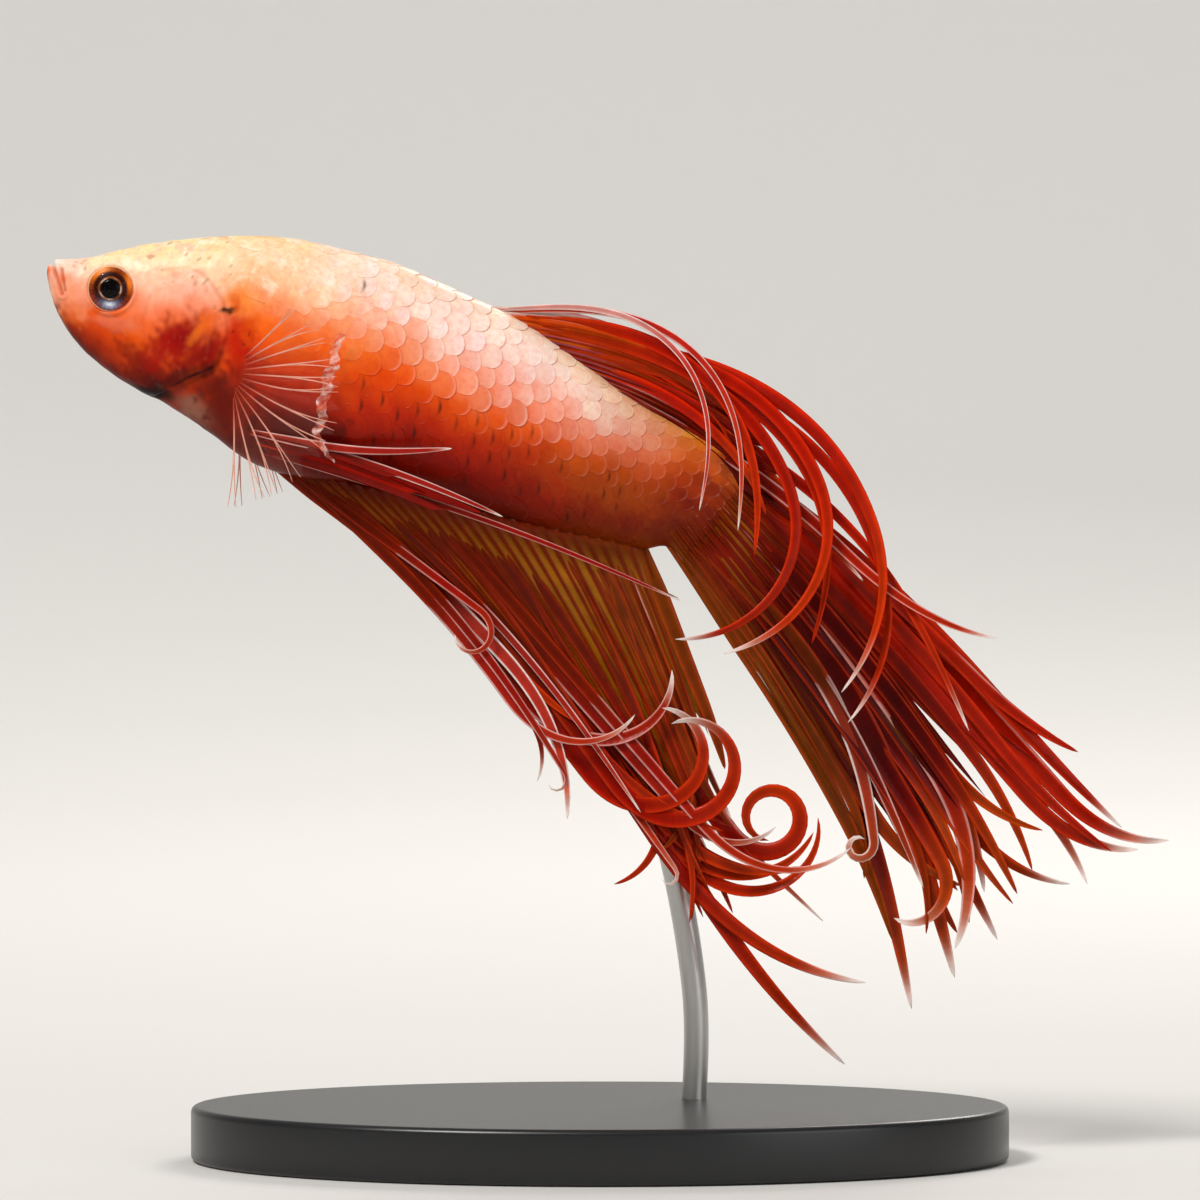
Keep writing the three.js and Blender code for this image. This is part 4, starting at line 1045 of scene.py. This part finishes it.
def caudal_web_tint(t, s, off_ray):
    """Orange at the root, then maroon crossed lengthwise by thin amber stripes, two for each
    ray further out; orange red along the top, olive brown along the lower edge; and beads of
    pink shine on some of the rays."""
    finer = np.abs(np.cos(off_ray * np.pi))
    stripe = smooth(off_ray, 0.55, 0.8) * smooth(s, 0.6, 0.35)
    stripe = stripe + smooth(finer, 0.3, 0.05) * smooth(s, 0.35, 0.6) * 0.5
    ray = np.round(t * 14)
    beads = smooth(np.cos(150 * s + 2 * ray) + np.cos(61 * s + 5 * ray), 0.1, 1.2)
    beads = beads * smooth(s, 0.06, 0.14) * smooth(s, 0.62, 0.3) * smooth(t, 0.25, 0.35)
    beads = beads * (np.cos(12.9 * ray) > -0.2) * (off_ray < 0.2)
    return layered(
        "#a83c06",
        ("#801804", smooth(s, 0.02, 0.2)),
        ("#500200", smooth(s, 0.15, 0.5) * smooth(t, 0.1, 0.3) * smooth(t, 0.95, 0.75)),
        ("#b41804", smooth(t, 0.22, 0.06) * smooth(s, 0.1, 0.3)),
        ("#7a3c08", smooth(t, 0.84, 0.98) * 0.8),
        ("#a05c0c", 0.8 * stripe * smooth(s, 0.03, 0.12) * smooth(t, 0.08, 0.3)),
        ("#e8909c", 0.75 * beads),
    )


def caudal_ray_tint(t, s, w, pale, luck):
    """Dark red, orange red in the upper rays and out past the web, olive brown below."""
    base = layered(
        "#8c1804",
        ("#5c0200", smooth(s, 0.1, 0.3)),
        ("#a40e02", smooth(s, 0.6, 0.86)),
        ("#cc4c06", smooth(s, 0.68, 0.92) * (0.5 + 0.5 * luck)),
        ("#c02004", smooth(t, 0.30, 0.05) * smooth(s, 0.05, 0.3)),
        ("#8c4408", smooth(t, 0.72, 1.0) * 0.7),
    )
    return ribbon_tint(base, s, w, pale, luck, 0.46)


rng = np.random.default_rng(34)
caudal_web = web("caudal_fin_web", CAUDAL_HEEL, 15, caudal_shape, caudal_web_tint, fin_material, 0.28, 0.8,
                 level=lambda t: 0.1 + 0.8 * t, notch=0.3)
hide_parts("caudal_fin")
caudal_rays = np.concatenate([CAUDAL_RAYS, fringe(15, caudal_shape, rng, 1.3, (1.0, 1.25), pale=-1)])
caudal_ribbons = fin_rays("caudal_fin_rays", CAUDAL_ROOT, caudal_rays, caudal_ray_tint, fin_material, rng)

# ---------- pelvic and breast fins
# The pelvic fins are narrow red blades, the first ray thick and pink. The breast fins are almost
# clear: a fan of thin pale rays, each forked once, from a fleshy lobe behind the gill cover.

PELVIC_ROOT = [[-22.2, 46.3], [-21.0, 44.8]]
PELVIC_Y = 1.7
PELVIC_RAYS = [
    [0.0, -14, 17.0, -10, 0, 0.6, 2.0, 0.55, 0.4],
    [0.9, -16, 27.8, -8, 0, 0.6, 1.5, 0.42, 0.15],
    [0.0, -12, 13.0, 16, 0, 0.6, 2.2, 0.6, 0.35],
    [0.4, -15, 15.0, -6, 0, 0.6, 1.8, 0.8, -1],
]


def pelvic_shape(t):
    """Heading, length, bend and lean of the web's line at t."""
    return -13 - 3 * t, 10 + 4 * t, -8.0, 1.9 - 0.4 * t


def pelvic_web_tint(t, s, off_ray):
    """Dark red, a little lighter outward."""
    return blend("#640600", "#a81404", smooth(s, 0.1, 0.9) * 0.7 + 0.3 * off_ray)


def pelvic_ray_tint(t, s, w, pale, luck):
    """Pinkish red root, bright red blade and orange filament."""
    return ribbon_tint(blend("#b83018", "#b41004", smooth(s, 0.2, 0.6)), s, w, pale, luck)


PECTORAL_ROOT = [[-22.6, 50.8], [-23.1, 48.4]]
PECTORAL_Y = 3.1
PECTORAL_RAYS = 12
PECTORAL_FORK = 8  # degrees that each branch of a ray turns aside
FRINGE_PATH = np.array([
    [-16.3, 52.4], [-16.6, 51.3], [-16.8, 50.4], [-17.1, 49.5], [-17.3, 48.6], [-17.5, 47.6],
    [-17.6, 46.7], [-17.8, 45.8], [-17.3, 45.2], [-16.8, 44.3],
])


def pectoral_shape(t):
    """Heading, length, bend and lean of the web's line at t."""
    return 42 - 130 * t, 4.9 + 2.0 * t**0.8 + 0.9 * np.sin(np.pi * t), 0.0, 2 - 1.3 * t


def pectoral_web_tint(t, s, off_ray):
    """Clear pink, paler at the rays."""
    return blend("#f0a890", "#fae0d8", bell(off_ray, 0.3))


def pectoral_ray_tint(t, s, w, pale, luck):
    """Pale pink bone, reddish at the root."""
    return blend("#c84028", "#f2b09a", smooth(s, 0.02, 0.5))


def fringe_tint(t, s, w, pale, luck):
    """Pink with milky patches along its folds."""
    folds = np.cos(58 * s + 3 * np.cos(17 * s) + 1.5 * w) + 0.7 * np.cos(131 * s + 4 * w)
    return blend("#e0603c", "#fbe2da", smooth(folds, -0.9, 1.1))


clear_material, tree, output = new_material("clear_fin_tissue")
# Clear fin web: a film about a tenth of a millimetre thick, seen mostly by its gloss.
paint = add_node(tree, "Attribute", {"attribute_name": "tint"})
place = add_node(tree, "TexCoord").outputs["Object"]
relief = grained(tree, place, 1200.0, 3.0, 0.3, 0.0001)[1]
surface = add_node(tree, "BsdfPrincipled", {"Roughness": 0.2, "IOR": 1.4, "Alpha": 0.013},
                   {"Base Color": paint, "Normal": relief})
tree.links.new(surface.outputs[0], output.inputs[0])

milky_material, tree, output = new_material("milky_fin_edge")
# Worn edge of the clear fin: the film rolled up and gone milky, still half clear.
paint = add_node(tree, "Attribute", {"attribute_name": "tint"})
place = add_node(tree, "TexCoord").outputs["Object"]
film, relief = grained(tree, place, 2600.0, 3.0, 0.6, 0.0001)
thin = add_node(tree, "MapRange", {"From Min": 0.35, "From Max": 0.65, "To Min": 0.1, "To Max": 0.75},
                {"Value": film})
surface = add_node(tree, "BsdfPrincipled", {"Roughness": 0.3, "IOR": 1.4}, {
    "Base Color": paint, "Alpha": thin, "Normal": relief})
tree.links.new(surface.outputs[0], output.inputs[0])

FRINGE_WIDTH = 0.72
FRINGE_STEPS = 120
s = np.linspace(0, 1, FRINGE_STEPS)
path = spline(FRINGE_PATH, s)
wave = np.stack([path[:, 0] + 0.1 * np.cos(31 * s) + 0.05 * np.cos(83 * s),
                 4.5 - 0.7 * s + 0.15 * np.sin(37 * s), path[:, 1]], -1)
fringe_curve = wave[None], np.arctan2(*np.gradient(path, axis=0).T[::-1])[None], s

for side, word in ((-1, "left"), (1, "right")):
    rng = np.random.default_rng(45)
    at = (0.4, PELVIC_Y, side)
    pelvic_web = web(f"pelvic_fin_{word}_web", PELVIC_ROOT, 4, pelvic_shape, pelvic_web_tint,
                     fin_material, 0.12, 0.0, *at)
    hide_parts(f"pelvic_fin_{word}")
    fin_rays(f"pelvic_fin_{word}_rays", PELVIC_ROOT, PELVIC_RAYS, pelvic_ray_tint,
                     fin_material, rng, *at)
    at = (0.8, PECTORAL_Y, side)
    pectoral_web = web(f"pectoral_fin_{word}_web", PECTORAL_ROOT, PECTORAL_RAYS, pectoral_shape,
                       pectoral_web_tint, clear_material, 0.1, 0.0, *at)
    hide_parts(f"pectoral_fin_{word}")
    bones = fringe(PECTORAL_RAYS, pectoral_shape, rng, 0.085, (0.94, 1.0))
    bones[:, 6] = pectoral_shape(bones[:, 0])[3]
    bones[:, 3], bones[:, 5] = rng.normal(0, 7, len(bones)), 0.35
    bones = np.concatenate([bones, bones])
    fork = np.repeat([-PECTORAL_FORK, PECTORAL_FORK], PECTORAL_RAYS)
    bones[:, 4] = fork + rng.normal(0, 2, len(bones))
    fin_rays(f"pectoral_fin_{word}_rays", PECTORAL_ROOT, bones, pectoral_ray_tint,
                     fin_material, rng, *at, thick=0.1)
    ribbons(f"pectoral_fin_{word}_fringe", fringe_curve, np.array([FRINGE_WIDTH]), np.zeros(1),
                    np.zeros(1), fringe_tint, milky_material, rng, side, thick=0.12)

# ---------- stand
# A plain museum stand: an oval plate of black acrylic with polished edges, and a bent rod of
# brushed steel, let into the plate and into the fish's far side.

acrylic, tree, output = new_material("black_acrylic_satin")
# Cast acrylic rubbed to a satin: dark, even, with hair-fine scratches under 0.1 mm.
place = add_node(tree, "TexCoord").outputs["Object"]
haze, depth = grained(tree, place, 5000.0, 4.0, 0.05, 0.00002)
rough = add_node(tree, "MapRange", {"To Min": 0.27, "To Max": 0.33}, {"Value": haze})
tone = add_node(tree, "Mix", {"data_type": "RGBA", 6: (*linear("#141416"), 1), 7: (*linear("#18181a"), 1)},
                {0: haze})
surface = add_node(tree, "BsdfPrincipled", {"IOR": 1.49},
                   {"Base Color": tone.outputs[2], "Roughness": rough, "Normal": depth})
tree.links.new(surface.outputs[0], output.inputs[0])

steel, tree, output = new_material("brushed_steel")
# Drawn steel rod, brushed along its length with streaks about 0.1 mm wide.
place = add_node(tree, "TexCoord").outputs["Object"]
stretch = add_node(tree, "Mapping", {"Scale": (9000.0, 9000.0, 500.0)}, {0: place})
streak = add_node(tree, "TexNoise", {"Scale": 1.0, "Detail": 2.0}, {"Vector": stretch})
rough = add_node(tree, "MapRange", {"To Min": 0.25, "To Max": 0.45}, {"Value": streak})
depth = add_node(tree, "Bump", {"Strength": 0.15, "Distance": 0.00003}, {"Height": streak})
surface = add_node(tree, "BsdfPrincipled", {"Metallic": 1.0, "Base Color": (*linear("#b9b8b5"), 1)},
                   {"Roughness": rough, "Normal": depth})
tree.links.new(surface.outputs[0], output.inputs[0])

PLATE_HALF = np.array([26.0, 17.0])
PLATE_HEIGHT = 3.5
PLATE_ROUND = 0.4  # mm, radius of its polished edges
PLATE_SIDES = 160
ROD_RADIUS = 0.8
ROD_PATH = np.array([
    [6.0, 4.5, 1.2], [6.0, 4.5, 11.0], [3.5, 4.8, 23.0], [-1.5, 4.8, 34.0], [-4.8, 4.1, 41.3],
    [-5.9, 1.6, 44.6],
])
ROD_STEPS = 90
ROD_SIDES = 24

# The plate: an upright profile of inset and height, its edges rounded in quarter turns, carried
# round the oval.
quarter = np.linspace(0, np.pi / 2, 6)
low_edge = np.stack([PLATE_ROUND * (1 - np.sin(quarter)), PLATE_ROUND * (1 - np.cos(quarter))], -1)
flat = np.array([[PLATE_ROUND + 0.1, 0.0]])
half_profile = np.concatenate([flat + [12.0, 0], flat, low_edge])
plate_profile = np.concatenate([half_profile, (half_profile * [1, -1] + [0, PLATE_HEIGHT])[::-1]])
turn = turns(PLATE_SIDES)
inset, height = plate_profile[:, :1], plate_profile[:, 1:]
plate = np.stack([(PLATE_HALF[0] - inset) * np.cos(turn), (PLATE_HALF[1] - inset) * np.sin(turn),
                  np.repeat(height, PLATE_SIDES, 1)], -1)
plate_rim = np.arange(PLATE_SIDES)
plate_ends = np.stack([plate_rim[::-1], plate_rim + (len(plate) - 1) * PLATE_SIDES])
plate_faces = [grid_faces(len(plate), PLATE_SIDES, wrap=True)[:, ::-1], plate_ends]
stand_plate = new_piece("stand_plate", plate.reshape(-1, 3), plate_faces, acrylic)
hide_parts("stand_base")

# The rod: a circle carried along its bent path, square to it.
middle_line = spline(ROD_PATH, np.linspace(0, 1, ROD_STEPS))
forward = unit(np.gradient(middle_line, axis=0))
sideways = unit(np.cross(forward, [0, 1, 0]))
upward = np.cross(sideways, forward)
turn = turns(ROD_SIDES)[None, :, None]
ring = np.cos(turn) * sideways[:, None] + np.sin(turn) * upward[:, None]
rod = (middle_line[:, None] + ROD_RADIUS * ring).reshape(-1, 3)
stand_bent_rod = new_piece("stand_bent_rod", rod, closed_tubes(1, ROD_STEPS, ROD_SIDES), steel)
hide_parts("stand_rod")

# ---------- studio
# A pale cove of plain paper, turned round the stand, that rises into its own wall; large soft
# lights above it; and the camera level with the fish, on its left.

COVE_FLOOR = 350.0  # mm from the middle to where the paper starts to rise
COVE_BEND = 1100.0
COVE_TOP = 1700.0
COVE_SIDES = 72
COVE_GAP = 0.02  # mm that the paper lies below the stand
bend = np.linspace(0, np.pi / 2, 24)
cove_curve = np.stack([COVE_FLOOR + COVE_BEND * np.sin(bend), COVE_BEND * (1 - np.cos(bend))], 1)
cove_profile = np.concatenate([[[0.0, 0.0]], cove_curve, [[COVE_FLOOR + COVE_BEND, COVE_TOP]]])
turn = turns(COVE_SIDES)
cove = np.stack([cove_profile[:, :1] * np.cos(turn), cove_profile[:, :1] * np.sin(turn),
                 np.repeat(cove_profile[:, 1:], COVE_SIDES, 1)], -1)
paper, tree, output = new_material("matt_paper")
# Matt off-white paper, without gloss.
surface = add_node(tree, "BsdfPrincipled", {
    "Base Color": (*linear("#dcdad6"), 1), "Roughness": 0.9, "Specular IOR Level": 0.2,
})
tree.links.new(surface.outputs[0], output.inputs[0])
cove_faces = grid_faces(len(cove), COVE_SIDES, wrap=True)
floor = new_piece("floor", cove.reshape(-1, 3) - [0, 0, COVE_GAP], [cove_faces], paper)


def soft_light(name, place, aim, size, power, colour):
    """A square area light at place, turned to aim; mm, watts."""
    lamp = bpy.data.lights.new(name, "AREA")
    lamp.shape, lamp.size, lamp.energy, lamp.color = "SQUARE", size * MM, power, colour
    held = new_object(name, lamp)
    held.location = np.array(place) * MM
    held.rotation_euler = mathutils.Vector(np.subtract(place, aim)).to_track_quat("Z", "Y").to_euler()


MIDDLE = (0.0, 0.0, 35.6)
soft_light("key", (-230, -300, 460), (-5, 0, 45), 150, 2.4, (1.0, 0.98, 0.95))
soft_light("fill", (420, -420, 160), MIDDLE, 360, 0.7, (0.96, 0.98, 1.0))
soft_light("back", (160, 360, 330), MIDDLE, 200, 1.0, (1.0, 0.97, 0.94))
soft_light("wall", (0, 300, 800), (0, 1300, 330), 500, 4.6, (1.0, 0.98, 0.96))

world = bpy.data.worlds.new("studio")
world.use_nodes = True
sky = world.node_tree.nodes["Background"].inputs
sky["Color"].default_value, sky["Strength"].default_value = (0.92, 0.95, 1.0, 1), 0.35
bpy.context.scene.world = world
bpy.context.scene.view_settings.view_transform = "Standard"

CAMERA_DISTANCE = 450.0
CAMERA_RISE = 1.2  # degrees above level
PICTURE_WIDTH = 76.2  # mm across the picture at the fish
camera = new_object("camera", bpy.data.cameras.new("camera"))
camera.data.lens = camera.data.sensor_width * CAMERA_DISTANCE / PICTURE_WIDTH
rise = np.radians(CAMERA_RISE)
camera.location = (np.array(MIDDLE) + CAMERA_DISTANCE * np.array([0, -np.cos(rise), np.sin(rise)])) * MM
camera.rotation_euler = (np.pi / 2 - rise, 0, 0)
camera.data.clip_start, camera.data.clip_end = 0.01, 20
bpy.context.scene.camera = camera
